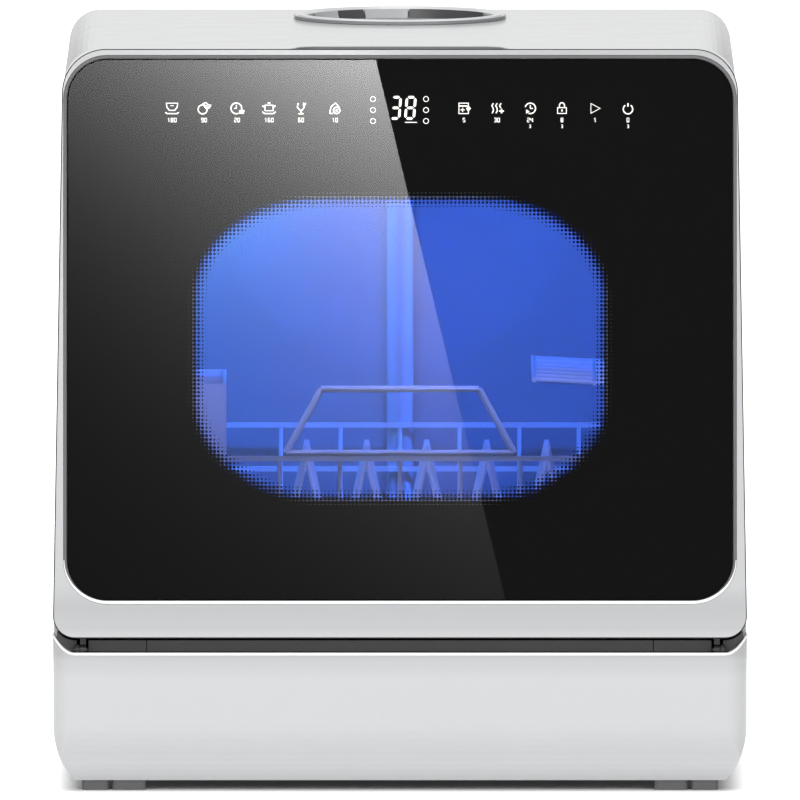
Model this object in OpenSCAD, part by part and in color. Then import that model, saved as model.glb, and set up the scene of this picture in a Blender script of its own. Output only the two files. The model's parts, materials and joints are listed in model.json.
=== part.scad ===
// Countertop dishwasher with a drop-down glass door and a pull-out basket.
// Millimetres, +Z up, front towards -Y, origin at the centre of the footprint on the table.

/* [Body] */
// Width of the base, the widest part
body_w = 412; // [404:1:424]
// Depth from the front of the base to the back
body_d = 405; // [398:1:420]
// Height of the flat top above the table
body_h = 440; // [434:1:452]
// How much narrower the housing is below its top corners than at the base
side_taper = 13; // [10:1:16]
// Radius of the long top corners
top_r = 21; // [17:1:25]
// Radius where the top turns down into the back
rear_r = 25; // [18:1:30]
// Radius of the upright rear corners
rear_corner_r = 25; // [18:1:30]
// Thickness of the moulded walls
wall = 2.5; // [2.2:0.1:2.8]

/* [Base] */
// Height of the base rim above the table
base_h = 83; // [81:1:88]
// Radius of the upright front corners of the base
base_corner_r = 13; // [9:1:16]
// Radius of the undercut that runs round the foot of the base
under_r = 52; // [48:1:60]
// Height of that undercut
under_h = 34; // [30:1:37]
// Height of the corner horns that cup the door
horn_h = 10; // [6:1:11]
// Height of the rubber feet below the base
foot_h = 6; // [5:1:8]
// Diameter of a rubber foot
foot_d = 19; // [16:1:24]

/* [Door] */
// Backward lean of the closed door in degrees
lean = 5; // [4:0.5:6]
// Thickness of the door from frame to liner
door_t = 29; // [28:0.5:30]
// Hinge axis behind the front of the base
axis_in = 6.5; // [6:0.25:7.5]
// Hinge axis above the base rim
axis_up = 1; // [0.5:0.25:1.5]
// Gap between the hinge axis and the lower edge of the door
door_gap = 7; // [6.5:0.25:9]
// How much narrower the door is at its upper end than the base
door_taper = 10.6; // [8:0.2:16]
// Radius of the lower corners of the door
door_low_r = 13; // [10:1:16]
// Radius of the upper corners of the door
door_top_r = 26; // [22:1:30]
// Thickness of the glass
glass_t = 3.2; // [3:0.1:4]
// Width of the door's edge outside the glass, both sides together
glass_margin = 6; // [4.8:0.2:10]
// Height of the white panel below the glass
chin_h = 22.5; // [18:0.5:28]
// Radius of the glass corners
glass_r = 24; // [20:1:28]
// Width of the trim ring round the glass
bezel_w = 2.1; // [1.6:0.1:2.4]
// Width of the window through the door
window_w = 244; // [220:1:260]
// Height of the door above the window
window_above = 83.8; // [76:0.2:100]
// Height of the window's lower edge above the hinge axis
window_low = 89; // [80:1:96]
// Radius of the window corners
window_r = 55; // [30:1:70]
// Width of the finger pocket in the top edge
pocket_w = 139; // [110:1:160]

/* [Tub] */
// Space between the tub and the housing on each side
side_space = 30; // [29:0.5:34]
// Height of the tub floor above the base rim
tub_lift = 21; // [20:0.5:24]
// Space between the tub ceiling and the top of the body
top_space = 30; // [28:1:36]
// Clear space behind the tub for the tank and ducts
rear_space = 60; // [58:1:64]
// Radius of the tub's upper and upright corners
tub_r = 18; // [12:1:24]
// Corner radius at the low end of the door opening
tub_low_r = 5; // [3:0.5:5.5]

/* [Fill port] */
// Outer diameter of the raised ring on top
port_d = 127; // [118:1:132]
// Height of the ring above the top
port_rise = 3; // [2:0.5:5]
// Distance from the back of the body to the centre of the port
port_back = 102; // [98:1:106]

/* [Basket] */
// Gap between the basket and each side wall of the tub
basket_side = 15; // [13:0.5:21]
// Thickness of the basket wires
wire_d = 3; // [2.6:0.2:3.6]
// Height of the basket floor above the tub floor
basket_lift = 36; // [34:1:40]
// Height of the basket wall
basket_h = 53; // [46:1:60]
// Distance from the tub's back wall to the basket
basket_back = 20; // [18:1:26]
// Distance from the front of the body to the basket
basket_in = 69; // [67:0.5:75]
// Diameter of a basket roller
roller_d = 18; // [16:1:20]

/* [Spray arms] */
// Gap between the tips of the lower spray arm and the back wall of the tub
arm_gap = 21.8; // [20:0.2:30]
// How much shorter the upper spray arm is than the lower one
arm_step = 22; // [16:2:60]
// Thickness of a spray arm
arm_t = 10; // [9:0.5:11]

/* [Pumps] */
// Height of the base beyond the diameter of the wash pump chamber
pump_room = 23; // [21:0.5:28]
// How much slimmer the wash pump motor is than its chamber
motor_step = 6; // [5:0.5:10]
// Diameter of the drain pump chamber
drain_d = 40; // [36:1:44]
// Outer diameter of the water pipes
pipe_d = 16; // [14:1:18]
// Diameter of the sump well
sump_d = 66; // [60:1:70]

/* [Hidden] */
$fn = 48;

// Colours
white = "#eceef0";
grey = "#b9bdc2";
dark = "#2a2c30";
steel = "#c9cdd2";
tub_grey = "#d8dce2";

// Clearances
fit = 0.3;
run = 0.4;
seat_gap = 0.05;
pin_fit = 0.08;
eps = 0.5;
corner_steps = 9;

// Body places
hw = body_w / 2;
top_hw = hw - side_taper / 2;
door_top_w = body_w - door_taper;
glass_w = door_top_w - glass_margin;
tub_top = body_h - top_space;
tub_floor = base_h + tub_lift;
front_y = -body_d / 2;
rear_y = body_d / 2;
axis_y = front_y + axis_in;
axis_z = base_h + axis_up;
lip_t = 2.8;
lip_gap = 1.3;

// Door planes, measured from the hinge axis square to the closed door
frame_w0 = -axis_in + 1;
door_back = frame_w0 + door_t;
glass_w0 = frame_w0 - 0.5;
glass_w1 = glass_w0 + glass_t;
door_wall = 3;
liner_t = 3.5;
liner_w0 = door_back - liner_t;
seal_w0 = door_back + fit;
flange_w0 = seal_w0 + 4.2;
flange_w1 = flange_w0 + 3;
shell_front = door_back + 1.5;

function lean_y(w, v) = axis_y + w * cos(lean) + v * sin(lean);
function lean_v(w, z) = (z - axis_z + w * sin(lean)) / cos(lean);
function lean_z(w, v) = axis_z - w * sin(lean) + v * cos(lean);

door_low = door_gap;
door_high = lean_v(frame_w0, body_h - lip_t - lip_gap);
glass_low = door_low + chin_h;
glass_high = door_high - bezel_w + 0.4;
window_h = door_high - window_above - window_low;

// A quarter turn of outline points, or one point for a sharp corner
function corner(cx, cz, r, a0) = r <= 0 ? [[cx, cz]] :
    [for (i = [0:corner_steps]) let (a = a0 + 90 * i / corner_steps)
        [cx + r * cos(a), cz + r * sin(a)]];

// Outline with its own half width and corner radius at the low and the high end
function tapered(low_hw, high_hw, z0, z1, low_r, high_r) = concat(
    corner(low_hw - low_r, z0 + low_r, low_r, -90),
    corner(high_hw - high_r, z1 - high_r, high_r, 0),
    corner(high_r - high_hw, z1 - high_r, high_r, 90),
    corner(low_r - low_hw, z0 + low_r, low_r, 180));

function plain(half_w, z0, z1, r) = tapered(half_w, half_w, z0, z1, r, r);

// Extrusions along each axis between two planes
module along_y(y0, y1) translate([0, y1, 0]) rotate([90, 0, 0]) linear_extrude(y1 - y0) children();
module along_x(x0, x1) translate([x0, 0, 0]) rotate([90, 0, 90]) linear_extrude(x1 - x0) children();
module along_z(z0, z1) translate([0, 0, z0]) linear_extrude(z1 - z0) children();
module leaning() translate([0, axis_y, axis_z]) rotate([-lean, 0, 0]) children();
module block(a, b) translate(a) cube(b - a);
module rod_x(x0, x1, y, z, d) translate([x0, y, z]) rotate([0, 90, 0]) cylinder(h = x1 - x0, d = d);
module rod_y(y0, y1, x, z, d) translate([x, y1, z]) rotate([90, 0, 0]) cylinder(h = y1 - y0, d = d);
module rod_z(z0, z1, x, y, d) translate([x, y, z0]) cylinder(h = z1 - z0, d = d);
module both_sides() { children(); mirror([1, 0, 0]) children(); }

// A straight wire between two points
module wire(a, b, d) {
    run_v = b - a;
    len = norm(run_v);
    translate(a) rotate([0, acos(run_v[2] / len), atan2(run_v[1], run_v[0])])
        cylinder(h = len, d = d, $fn = 8);
}

// Tub and basket places
plate_t = 1.5;
plate_z = foot_h + wall;
sump_share = 0.5256;
tub_hw = hw - side_space;
tub_back = rear_y - rear_space;
tub_front = lean_y(flange_w1, lean_v(flange_w1, tub_floor));
hub_y = (tub_front + tub_back) / 2;
lower_arm_l = 2 * (tub_back - hub_y - arm_gap);
upper_arm_l = lower_arm_l - arm_step;
sump_x = -75;
sump_y = hub_y + sump_share * (tub_back - hub_y);
pump_d = base_h - pump_room;
motor_d = pump_d - motor_step;
pump_z = plate_z + plate_t + 6 + pump_d / 2;
feed_y = tub_back - pipe_d / 2 - 1;
basket_hw = tub_hw - basket_side;
basket_rear = tub_back - basket_back;
basket_front = front_y + basket_in;
basket_l = basket_rear - basket_front;
basket_z = tub_floor + basket_lift;
mid_y = (basket_front + basket_rear) / 2;
rim_z = basket_z + basket_h;
roller_z = tub_floor + fit + roller_d / 2;
front_roller_y = basket_front + 85;
rear_roller_y = basket_rear - 32;
deck_t = 3;
tub_under = tub_floor - wall;

// Outlines of the housing, i inside its outer face
function shell_front_outline(i) = tapered(hw - i, top_hw - i, base_h, body_h - i, 0, top_r - i);
function shell_side_outline(i, y_low, y_high) = concat(
    [[y_low, base_h], [rear_y - i, base_h]],
    corner(rear_y - rear_r, body_h - rear_r, rear_r - i, 0),
    [[y_high, body_h - i]]);
function shell_plan_outline(i) =
    tapered(hw - i, hw - i, front_y - 60, rear_y - i, 0, rear_corner_r - i);

// Outline of the door, i inside its edge, in the plane of the door
function door_outline(i) = tapered(hw - i, door_top_w / 2 - i, door_low + i, door_high - i,
    door_low_r - i, door_top_r - i);
function glass_outline(i) = plain(glass_w / 2 - i, glass_low + i, glass_high - i, glass_r - i);
function window_outline(i) =
    plain(window_w / 2 - i, window_low + i, window_low + window_h - i, window_r - i);

lip_drop = 45;
lip_y = lean_y(frame_w0, lean_v(frame_w0, body_h));
lip_low_y = lean_y(frame_w0, lean_v(frame_w0, body_h - lip_drop));
wall_y_high = lean_y(shell_front, lean_v(shell_front, body_h - lip_drop));
wall_y_low = lean_y(shell_front, lean_v(shell_front, base_h));

panel_hw = hw - 34;
panel_low = base_h + 12;
panel_high = body_h - 32;
panel_r = 10;
fan_x = panel_hw - 43;
fan_z = tub_top - 48;
fan_bore = 60;
fan_box = 70;

// The space that the door and its swing keep clear in the housing
module door_zone() {
    leaning() along_y(frame_w0 - 8, shell_front)
        polygon(tapered(hw + lip_gap, door_top_w / 2 + lip_gap, -30, door_high + lip_gap, 0,
            door_top_r + lip_gap));
}

pocket_depth = 24;
port_y = rear_y - port_back;

module shell_body() {
    intersection() {
        along_y(front_y - 50, rear_y + 1) polygon(shell_front_outline(0));
        along_x(-hw, hw) polygon(concat(
            shell_side_outline(0, wall_y_low, lip_y),
            [[lip_low_y, body_h - lip_drop], [wall_y_high, body_h - lip_drop]]));
        along_z(base_h, body_h) polygon(shell_plan_outline(0));
    }
}

module shell_hollow() {
    intersection() {
        along_y(front_y - 60, rear_y) polygon(concat([[hw - wall, base_h - 1]],
            tapered(hw - wall, top_hw - wall, base_h, body_h - wall, 0, top_r - wall),
            [[wall - hw, base_h - 1]]));
        along_x(-hw, hw) polygon(concat([[front_y - 60, base_h - 1], [rear_y - wall, base_h - 1]],
            corner(rear_y - rear_r, body_h - rear_r, rear_r - wall, 0),
            [[front_y - 60, body_h - wall]]));
        along_z(base_h - 2, body_h) polygon(shell_plan_outline(wall));
    }
}

module outer_shell() {
    color(white) difference() {
        shell_body();
        shell_hollow();
        door_zone();
        // Finger recess in the front edge of the top
        along_z(body_h - wall - 1, body_h + 1)
            polygon(tapered(pocket_w / 2, pocket_w / 2 - 8, lip_y - 10, lip_y + pocket_depth, 0, 12));
        // Opening for the fill port
        rod_z(body_h - wall - 1, body_h + 1, 0, port_y, port_d - 10);
        // Opening for the rear panel
        along_y(rear_y - wall - 1, rear_y + 1)
            polygon(plain(panel_hw, panel_low, panel_high, panel_r));
    }
}

panel_t = 3;
slot_count = 9;
slot_pitch = 7;
slot_h = 3.4;

module rear_panel() {
    color(grey) difference() {
        union() {
            along_y(rear_y - panel_t, rear_y)
                polygon(plain(panel_hw - fit, panel_low + fit, panel_high - fit, panel_r - fit));
            along_y(rear_y - panel_t - 2, rear_y - panel_t)
                polygon(plain(panel_hw + 6, panel_low + 8, panel_high - 8, panel_r));
        }
        // Hollow that leaves a thin skin inside the stiffening frame
        along_y(rear_y - panel_t - 3, rear_y - panel_t + 0.5)
            polygon(plain(panel_hw - 8, panel_low + 16, panel_high - 16, panel_r));
        // Air grille in front of the drying fan
        for (i = [0 : slot_count - 1])
            block([fan_x - fan_box / 2 + 4, rear_y - panel_t - 1,
                    fan_z + (i - (slot_count - 1) / 2) * slot_pitch - slot_h / 2],
                [fan_x + fan_box / 2 - 4, rear_y + 1,
                    fan_z + (i - (slot_count - 1) / 2) * slot_pitch + slot_h / 2]);
        rear_screw_places() {
            rod_y(rear_y - panel_t - 3, rear_y + 1, 0, 0, 3.4);
            rod_y(rear_y - 1.6, rear_y + 1, 0, 0, 6.6);
        }
    }
}

module rear_screw_places() {
    for (x = [4 - panel_hw, panel_hw - 4], z = [panel_low + 20, (panel_low + panel_high) / 2,
            panel_high - 20])
        translate([x, 0, z]) children();
}

module rear_screws() {
    color(steel) rear_screw_places() {
        rod_y(rear_y - panel_t - 4, rear_y - 1, 0, 0, 2.8);
        rod_y(rear_y - 1.5, rear_y, 0, 0, 6);
    }
}

// Quarter curve of the undercut below a vertical face that stands at the given place
function under_curve(edge, i) = let (r = under_r - i, a1 = asin((under_h - i) / r))
    [for (k = [0 : corner_steps]) let (a = a1 * (k / corner_steps - 1))
        [edge - under_r + r * cos(a), foot_h + under_h + r * sin(a)]];
function flip(points) = [for (k = [len(points) - 1 : -1 : 0]) [-points[k][0], points[k][1]]];

module base_body(i, z_top) {
    intersection() {
        along_y(front_y + i, rear_y - i) polygon(concat(under_curve(hw, i),
            [[hw - i, z_top], [i - hw, z_top]], flip(under_curve(hw, i))));
        along_x(i - hw, hw - i) polygon(concat([[rear_y - i, foot_h + i], [rear_y - i, z_top],
            [front_y + i, z_top]], flip(under_curve(body_d / 2, i))));
        along_z(foot_h + i, z_top) polygon(tapered(hw - i, hw - i, front_y + i, rear_y - i,
            base_corner_r - i, rear_corner_r - i));
    }
}

plate_inset = 24;
plate_front = 32;
plate_lap = 9;
plate_r = 16;
port_x = [-126, -92];
port_z = pump_z;
port_bore = 26;
gland_x = hw - 56;
gland_d = 22;

// Curved horns that close the corners below the door
module base_horns() {
    horn_w = door_low_r;
    intersection() {
        both_sides() along_y(front_y, wall_y_low - fit) polygon(concat(
            [[hw - horn_w - 1, base_h - 1]],
            [for (k = [0 : 6]) [hw - horn_w + horn_w * k / 6, base_h + horn_h * pow(k / 6, 2)]],
            [[hw, base_h - 1]]));
        along_z(base_h - 2, base_h + horn_h + 1) polygon(tapered(hw, hw, front_y, rear_y,
            base_corner_r, rear_corner_r));
    }
}

module base_shell() {
    color(white) difference() {
        union() {
            base_body(0, base_h);
            base_horns();
        }
        base_body(wall, base_h + eps);
        // Opening closed by the bottom plate
        along_z(foot_h - 1, foot_h + wall + 1) polygon(plain(hw - plate_inset,
            front_y + plate_front, rear_y - plate_inset, plate_r));
        for (x = port_x)
            rod_y(rear_y - wall - 1, rear_y + 1, x, port_z, port_bore);
        rod_y(rear_y - wall - 1, rear_y + 1, gland_x, port_z, gland_d + 2 * fit);
        bottom_screw_places() rod_z(foot_h - 1, plate_z + 1, 0, 0, 3.4);
    }
}

motor_len = 76;
motor_x = 14.5;
mount_x = motor_x + motor_len / 2;
air_slot_y = front_y + 82.5;

module bottom_plate() {
    color(steel) difference() {
        union() {
            along_z(plate_z, plate_z + plate_t) polygon(plain(hw - plate_inset + plate_lap,
                front_y + plate_front - plate_lap, rear_y - plate_inset + plate_lap, plate_r));
            // Saddles under the two pump motors
            for (dx = [-20, 20])
                block([mount_x + dx - 5, sump_y - 14, plate_z + plate_t - eps],
                    [mount_x + dx + 5, sump_y + 14, pump_z]);
            block([drain_mount_x - 5, sump_y - 10, plate_z + plate_t - eps],
                [drain_mount_x + 5, sump_y + 10, pump_z]);
            // Posts under the control board
            board_corners() rod_z(plate_z + plate_t - eps, board_z, 0, 0, 7);
            // Block under the inlet valve
            block([port_x[1] - 10, valve_y - valve_hl + 2, plate_z + plate_t - eps],
                [port_x[1] + 10, valve_y + valve_hl - 2, port_z - valve_low]);
        }
        rod_x(motor_x - 5, motor_x + motor_len + 5, sump_y, pump_z, motor_d + 2 * fit);
        rod_x(drain_motor_x0 - 2, drain_x1 - drain_w, sump_y, pump_z, drain_motor_d + 2 * fit);
        // Air slots in the plate
        for (k = [-4 : 4])
            block([k * 20 - 3, air_slot_y, plate_z - 1],
                [k * 20 + 3, air_slot_y + 60, plate_z + plate_t + 1]);
        bottom_screw_places() rod_z(plate_z - 1, plate_z + plate_t + 1, 0, 0, 3.4);
    }
}

module bottom_screw_places() {
    for (x = [plate_inset - 5 - hw, hw - plate_inset + 5], y = [front_y + 80, rear_y - 60])
        translate([x, y, 0]) children();
}

module bottom_screws() {
    color(steel) bottom_screw_places() {
        rod_z(foot_h - 1.8, foot_h, 0, 0, 6);
        rod_z(foot_h - 0.2, plate_z + plate_t + 3, 0, 0, 2.8);
    }
}

hinge_x = hw - 14.5;
arm_w = 3.4;
bracket_w = 2.6;
slot_w = 14;
pin_d = 3.5;
knuckle_r = 3.4;
pad_d = 14;

module pad_places() {
    for (x = [48 - tub_hw, tub_hw - 48], y = [tub_front + 43, tub_back - 30.5])
        translate([x, y, 0]) children();
}

module base_deck() {
    color(dark) difference() {
        union() {
            along_z(base_h - deck_t, base_h) polygon(tapered(hw - wall - fit, hw - wall - fit,
                front_y + wall + fit, rear_y - wall - fit, base_corner_r - wall,
                rear_corner_r - wall));
            // Pads that carry the tub
            pad_places() rod_z(base_h - eps, tub_under, 0, 0, pad_d);
        }
        // Slots for the hinges at both ends of the gap below the door
        both_sides() block([hinge_x - slot_w / 2, front_y + wall - 1, base_h - deck_t - 1],
            [hinge_x + slot_w / 2, axis_y + knuckle_r + 1, base_h + 1]);
        rod_z(base_h - deck_t - 1, base_h + 1, sump_x, sump_y, sump_d + 2 * wall + 2);
        for (y = [hub_y, feed_y])
            rod_z(base_h - deck_t - 1, base_h + 1, 0, y, pipe_d + 2);
        rod_z(base_h - deck_t - 1, base_h + 1, port_x[1], valve_y, 12);
        // Vents above the wash motor
        for (x = [0 : 3]) block([motor_x + 10 + x * 16, sump_y - 24, base_h - deck_t - 1],
            [motor_x + 16 + x * 16, sump_y + 24, base_h + 1]);
    }
}

front_pad_x = [hw - 45, hw - 25];
front_pad_w = [20, 16];
foot_depth = 17;
front_pad_in = 14;

module front_feet() {
    color(dark) both_sides() for (k = [0 : 1])
        translate([front_pad_x[k], front_y + front_pad_in, 0])
            along_z(0, foot_h) polygon(plain(front_pad_w[k] / 2, 0, foot_depth, 3));
}

module rear_feet() {
    color(dark) both_sides() rod_z(0, foot_h, hw - 28, rear_y - 18, foot_d);
}

module tub_side(i, y_front) {
    along_x(i - tub_hw - wall, tub_hw + wall - i) polygon([
        [y_front(tub_under + i), tub_under + i], [tub_back + wall - i, tub_under + i],
        [tub_back + wall - i, tub_top + wall - i], [y_front(tub_top + wall - i),
            tub_top + wall - i]]);
}

vent_d = 52;

module tub() {
    cut_y = function(z) front_y - 60;
    front_w = flange_w1 + seat_gap;
    front_at = function(z) lean_y(front_w, lean_v(front_w, z));
    color(tub_grey) difference() {
        intersection() {
            tub_side(0, front_at);
            along_y(front_y, rear_y) polygon(tapered(tub_hw + wall, tub_hw + wall, tub_under,
                tub_top + wall, wall, tub_r + wall));
            along_z(0, body_h) polygon(tapered(tub_hw + wall, tub_hw + wall, front_y,
                tub_back + wall, 0, tub_r + wall));
        }
        intersection() {
            tub_side(wall, cut_y);
            along_y(front_y - 60, rear_y) polygon(tapered(tub_hw, tub_hw, tub_floor, tub_top,
                0, tub_r));
            along_z(0, body_h) polygon(tapered(tub_hw, tub_hw, front_y - 60, tub_back, 0, tub_r));
        }
        rod_z(tub_under - 1, tub_floor + 1, sump_x, sump_y, sump_d);
        for (y = [hub_y, feed_y])
            rod_z(tub_under - 1, tub_floor + 1, 0, y, pipe_d + 2 * fit);
        rod_y(tub_back - 1, tub_back + wall + 1, fan_x, fan_z, vent_d);
        // Joint between the floor pan and the walls
        block([-hw, front_y, tub_floor], [hw, rear_y, tub_floor + seat_gap]);
    }
}

opening_low = lean_v(flange_w0, tub_floor);
opening_high = lean_v(flange_w0, tub_top);
flange_lap = 17;
tongue_x = tub_hw - 64;
tongue_w = 12;
tongue_v = opening_high + 12.5;
tongue_t = 5;

module front_frame() {
    color(grey) leaning() difference() {
        along_y(flange_w0, flange_w1) polygon(plain(tub_hw + flange_lap, opening_low - 12,
            opening_high + 19, tub_r + 10));
        along_y(flange_w0 - 1, flange_w1 + 1)
            polygon(tapered(tub_hw, tub_hw, opening_low, opening_high, tub_low_r, tub_r));
        // Slot for the latch tongue
        block([tongue_x - tongue_w / 2 - 2, flange_w0 - 1, tongue_v - 2],
            [tongue_x + tongue_w / 2 + 2, flange_w1 + 1, tongue_v + tongue_t + 5]);
    }
}

seal_in = 2;
seal_wide = 8;

module door_seal() {
    color(dark) leaning() difference() {
        along_y(seal_w0, flange_w0) polygon(plain(tub_hw + seal_in + seal_wide,
            opening_low - seal_in - seal_wide, opening_high + seal_in + seal_wide, tub_r + 8));
        along_y(seal_w0 - 1, flange_w0 + 1) polygon(plain(tub_hw + seal_in,
            opening_low - seal_in, opening_high + seal_in, tub_r + 2));
    }
}

skin_t = 3;
skin_w = glass_w1 + skin_t;
tunnel_t = 4;
icon_v = lean_v(glass_w0, body_h - 35);
board_h = 28;
board_hw = glass_w / 2 - 45.7;
board_t = 1.6;
display_hw = 16;
display_h = 20;
grip_w0 = skin_w + 5.5;
grip_w1 = liner_w0 - 3;
grip_deep = 18;

module door_frame() {
    color(white) leaning() difference() {
        along_y(frame_w0, door_back) polygon(door_outline(0));
        // Seat of the glass and its trim ring
        along_y(frame_w0 - 1, glass_w1 + seat_gap) polygon(glass_outline(-bezel_w - fit));
        // Hollow behind the front skin, round the window tunnel and the finger pocket
        difference() {
            along_y(skin_w, door_back + 1) polygon(door_outline(door_wall));
            along_y(skin_w - 1, liner_w0 - fit) polygon(window_outline(-tunnel_t));
            block([-pocket_w / 2 - 2, grip_w0 - 2, door_high - grip_deep - 2],
                [pocket_w / 2 + 2, grip_w1 + 2, door_high + 1]);
        }
        along_y(frame_w0 - 1, door_back + 1) polygon(window_outline(0));
        // Finger pocket behind the top edge
        block([8 - pocket_w / 2, grip_w0, door_high - grip_deep],
            [pocket_w / 2 - 8, grip_w1, door_high + 1]);
        // Opening for the display
        block([-display_hw - fit, glass_w1 - 1, icon_v - display_h / 2 - fit],
            [display_hw + fit, skin_w + 1, icon_v + display_h / 2 + fit]);
        // Notches for the hinge arms
        both_sides() block([arm_x0 - fit, arm_w0 - fit, door_low - 1],
            [arm_x0 + arm_w + fit, arm_w1 + fit, door_low + door_wall + 1]);
    }
}

module glass_panel() {
    color([0.06, 0.06, 0.08, 0.6]) leaning() along_y(glass_w0, glass_w1) polygon(glass_outline(0));
}

module glass_bezel() {
    color(grey) leaning() difference() {
        along_y(glass_w0 - 0.3, glass_w1) polygon(glass_outline(-bezel_w));
        along_y(glass_w0 - 1, glass_w1 + 1) polygon(glass_outline(-fit));
    }
}

pane_t = 3;
pane_lap = 6;
cup_x0 = 56 - hw;
cup_w = 64;
cup_v0 = 26;
cup_h = window_low - cup_v0 - 13;
cup_deep = 16;
cup_wall = 1.6;

module door_liner() {
    color(tub_grey) leaning() difference() {
        along_y(liner_w0, door_back) polygon(door_outline(door_wall + fit));
        along_y(liner_w0 - 1, door_back + 1) polygon(window_outline(-pane_lap - fit));
        block([cup_x0 - fit, liner_w0 - 1, cup_v0 - fit],
            [cup_x0 + cup_w + fit, door_back + 1, cup_v0 + cup_h + fit]);
    }
}

module inner_window() {
    color([0.8, 0.85, 0.95, 0.5]) leaning()
        along_y(liner_w0, liner_w0 + pane_t) polygon(window_outline(-pane_lap));
}

module touch_board() {
    color("#1f6b46") leaning() block([-board_hw, skin_w + fit, icon_v - board_h / 2],
        [board_hw, skin_w + fit + board_t, icon_v + board_h / 2]);
}

module display_module() {
    color(dark) leaning() block([-display_hw, glass_w1 + fit, icon_v - display_h / 2],
        [display_hw, skin_w + fit, icon_v + display_h / 2]);
}

module detergent_cup() {
    color(grey) leaning() difference() {
        block([cup_x0, door_back - cup_deep, cup_v0],
            [cup_x0 + cup_w, door_back, cup_v0 + cup_h]);
        block([cup_x0 + cup_wall, door_back - cup_deep + cup_wall, cup_v0 + cup_wall],
            [cup_x0 + cup_w - cup_wall, door_back + 1, cup_v0 + cup_h - cup_wall]);
    }
}

roller_r = 3.5;
catch_w = flange_w1 + 7;
catch_pivot_w = catch_w + 16;
catch_v = tongue_v - fit - roller_r;
lever_t = 8;

module latch_tongue() {
    color(dark) leaning() {
        block([tongue_x - tongue_w / 2, door_back, tongue_v],
            [tongue_x + tongue_w / 2, catch_w + 4, tongue_v + tongue_t]);
    }
}

module catch_housing() {
    color(dark) leaning() difference() {
        union() {
            for (s = [-1, 1])
                translate([tongue_x + s * (tongue_w / 2 + 5), 0, 0])
                    block([-2, flange_w1 + fit, lean_v(catch_pivot_w + 6, tub_top + wall) + fit],
                        [2, catch_pivot_w + 6, tongue_v + tongue_t + 3]);
        }
        rod_x(tongue_x - 20, tongue_x + 20, catch_pivot_w, catch_v, 3 + 2 * pin_fit);
    }
}

module catch_lever() {
    color(steel) leaning() {
        rod_x(tongue_x - lever_t / 2, tongue_x + lever_t / 2, catch_w, catch_v, 2 * roller_r);
        rod_x(tongue_x - tongue_w / 2 - 7, tongue_x + tongue_w / 2 + 7, catch_pivot_w, catch_v, 3);
        block([tongue_x - lever_t / 2, catch_w, catch_v - 1.5],
            [tongue_x + lever_t / 2, catch_pivot_w, catch_v + 1.5]);
    }
}

arm_x0 = hinge_x - 5;
arm_w0 = skin_w + 0.4;
arm_w1 = 6;
arm_reach = 46;
bracket_x0 = arm_x0 + arm_w + 0.5;

module hinge_arms() {
    color(steel) both_sides() leaning() difference() {
        union() {
            rod_x(arm_x0, arm_x0 + arm_w, 0, 0, 2 * knuckle_r);
            block([arm_x0, arm_w0, 0], [arm_x0 + arm_w, arm_w1, arm_reach]);
            // Foot that is screwed to the floor of the door frame
            block([arm_x0 - 16, arm_w0, door_low + door_wall],
                [arm_x0 + eps, arm_w1, door_low + door_wall + 3]);
        }
        rod_x(arm_x0 - 1, arm_x0 + arm_w + 1, 0, 0, pin_d + 2 * pin_fit);
    }
}

module hinge_brackets() {
    color(dark) both_sides() difference() {
        union() {
            block([bracket_x0, axis_y - knuckle_r, base_h - 28],
                [bracket_x0 + bracket_w, axis_y + knuckle_r, axis_z]);
            rod_x(bracket_x0, bracket_x0 + bracket_w, axis_y, axis_z, 2 * knuckle_r);
            // Foot below the deck
            block([bracket_x0 - 26, axis_y - knuckle_r, base_h - deck_t - 3],
                [arm_x0 - 2, axis_y + 14, base_h - deck_t]);
            block([bracket_x0 - 26, axis_y - knuckle_r, base_h - 28],
                [bracket_x0 + bracket_w, axis_y + knuckle_r, base_h - 22]);
            block([bracket_x0 - 26, axis_y - knuckle_r, base_h - 28],
                [bracket_x0 - 22, axis_y + knuckle_r, base_h - deck_t]);
        }
        rod_x(bracket_x0 - 1, bracket_x0 + bracket_w + 1, axis_y, axis_z, pin_d + 2 * pin_fit);
    }
}

module hinge_pins() {
    color(steel) both_sides()
        rod_x(arm_x0 - 1, bracket_x0 + bracket_w + 0.6, axis_y, axis_z, pin_d);
}

// Fill port: ring, sloping funnel and lift-out strainer
ring_w = 7;
funnel_deep = 15;
funnel_t = 1.6;
bowl_r = port_d / 2 - ring_w;
throat_r = 24;
strainer_r = throat_r - 1;
spout_y = tub_back + wall + 18;
tank_top = body_h - 22;
channel_z = tank_top + 1.5;
channel_hw = 9;

module fill_collar() {
    color(white) translate([0, port_y, 0]) rotate_extrude() polygon([
        [bowl_r, body_h + fit], [port_d / 2, body_h + fit], [port_d / 2, body_h + port_rise - 1],
        [port_d / 2 - 1, body_h + port_rise], [bowl_r + 2, body_h + port_rise],
        [bowl_r, body_h + port_rise - 1.5]]);
}

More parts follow.
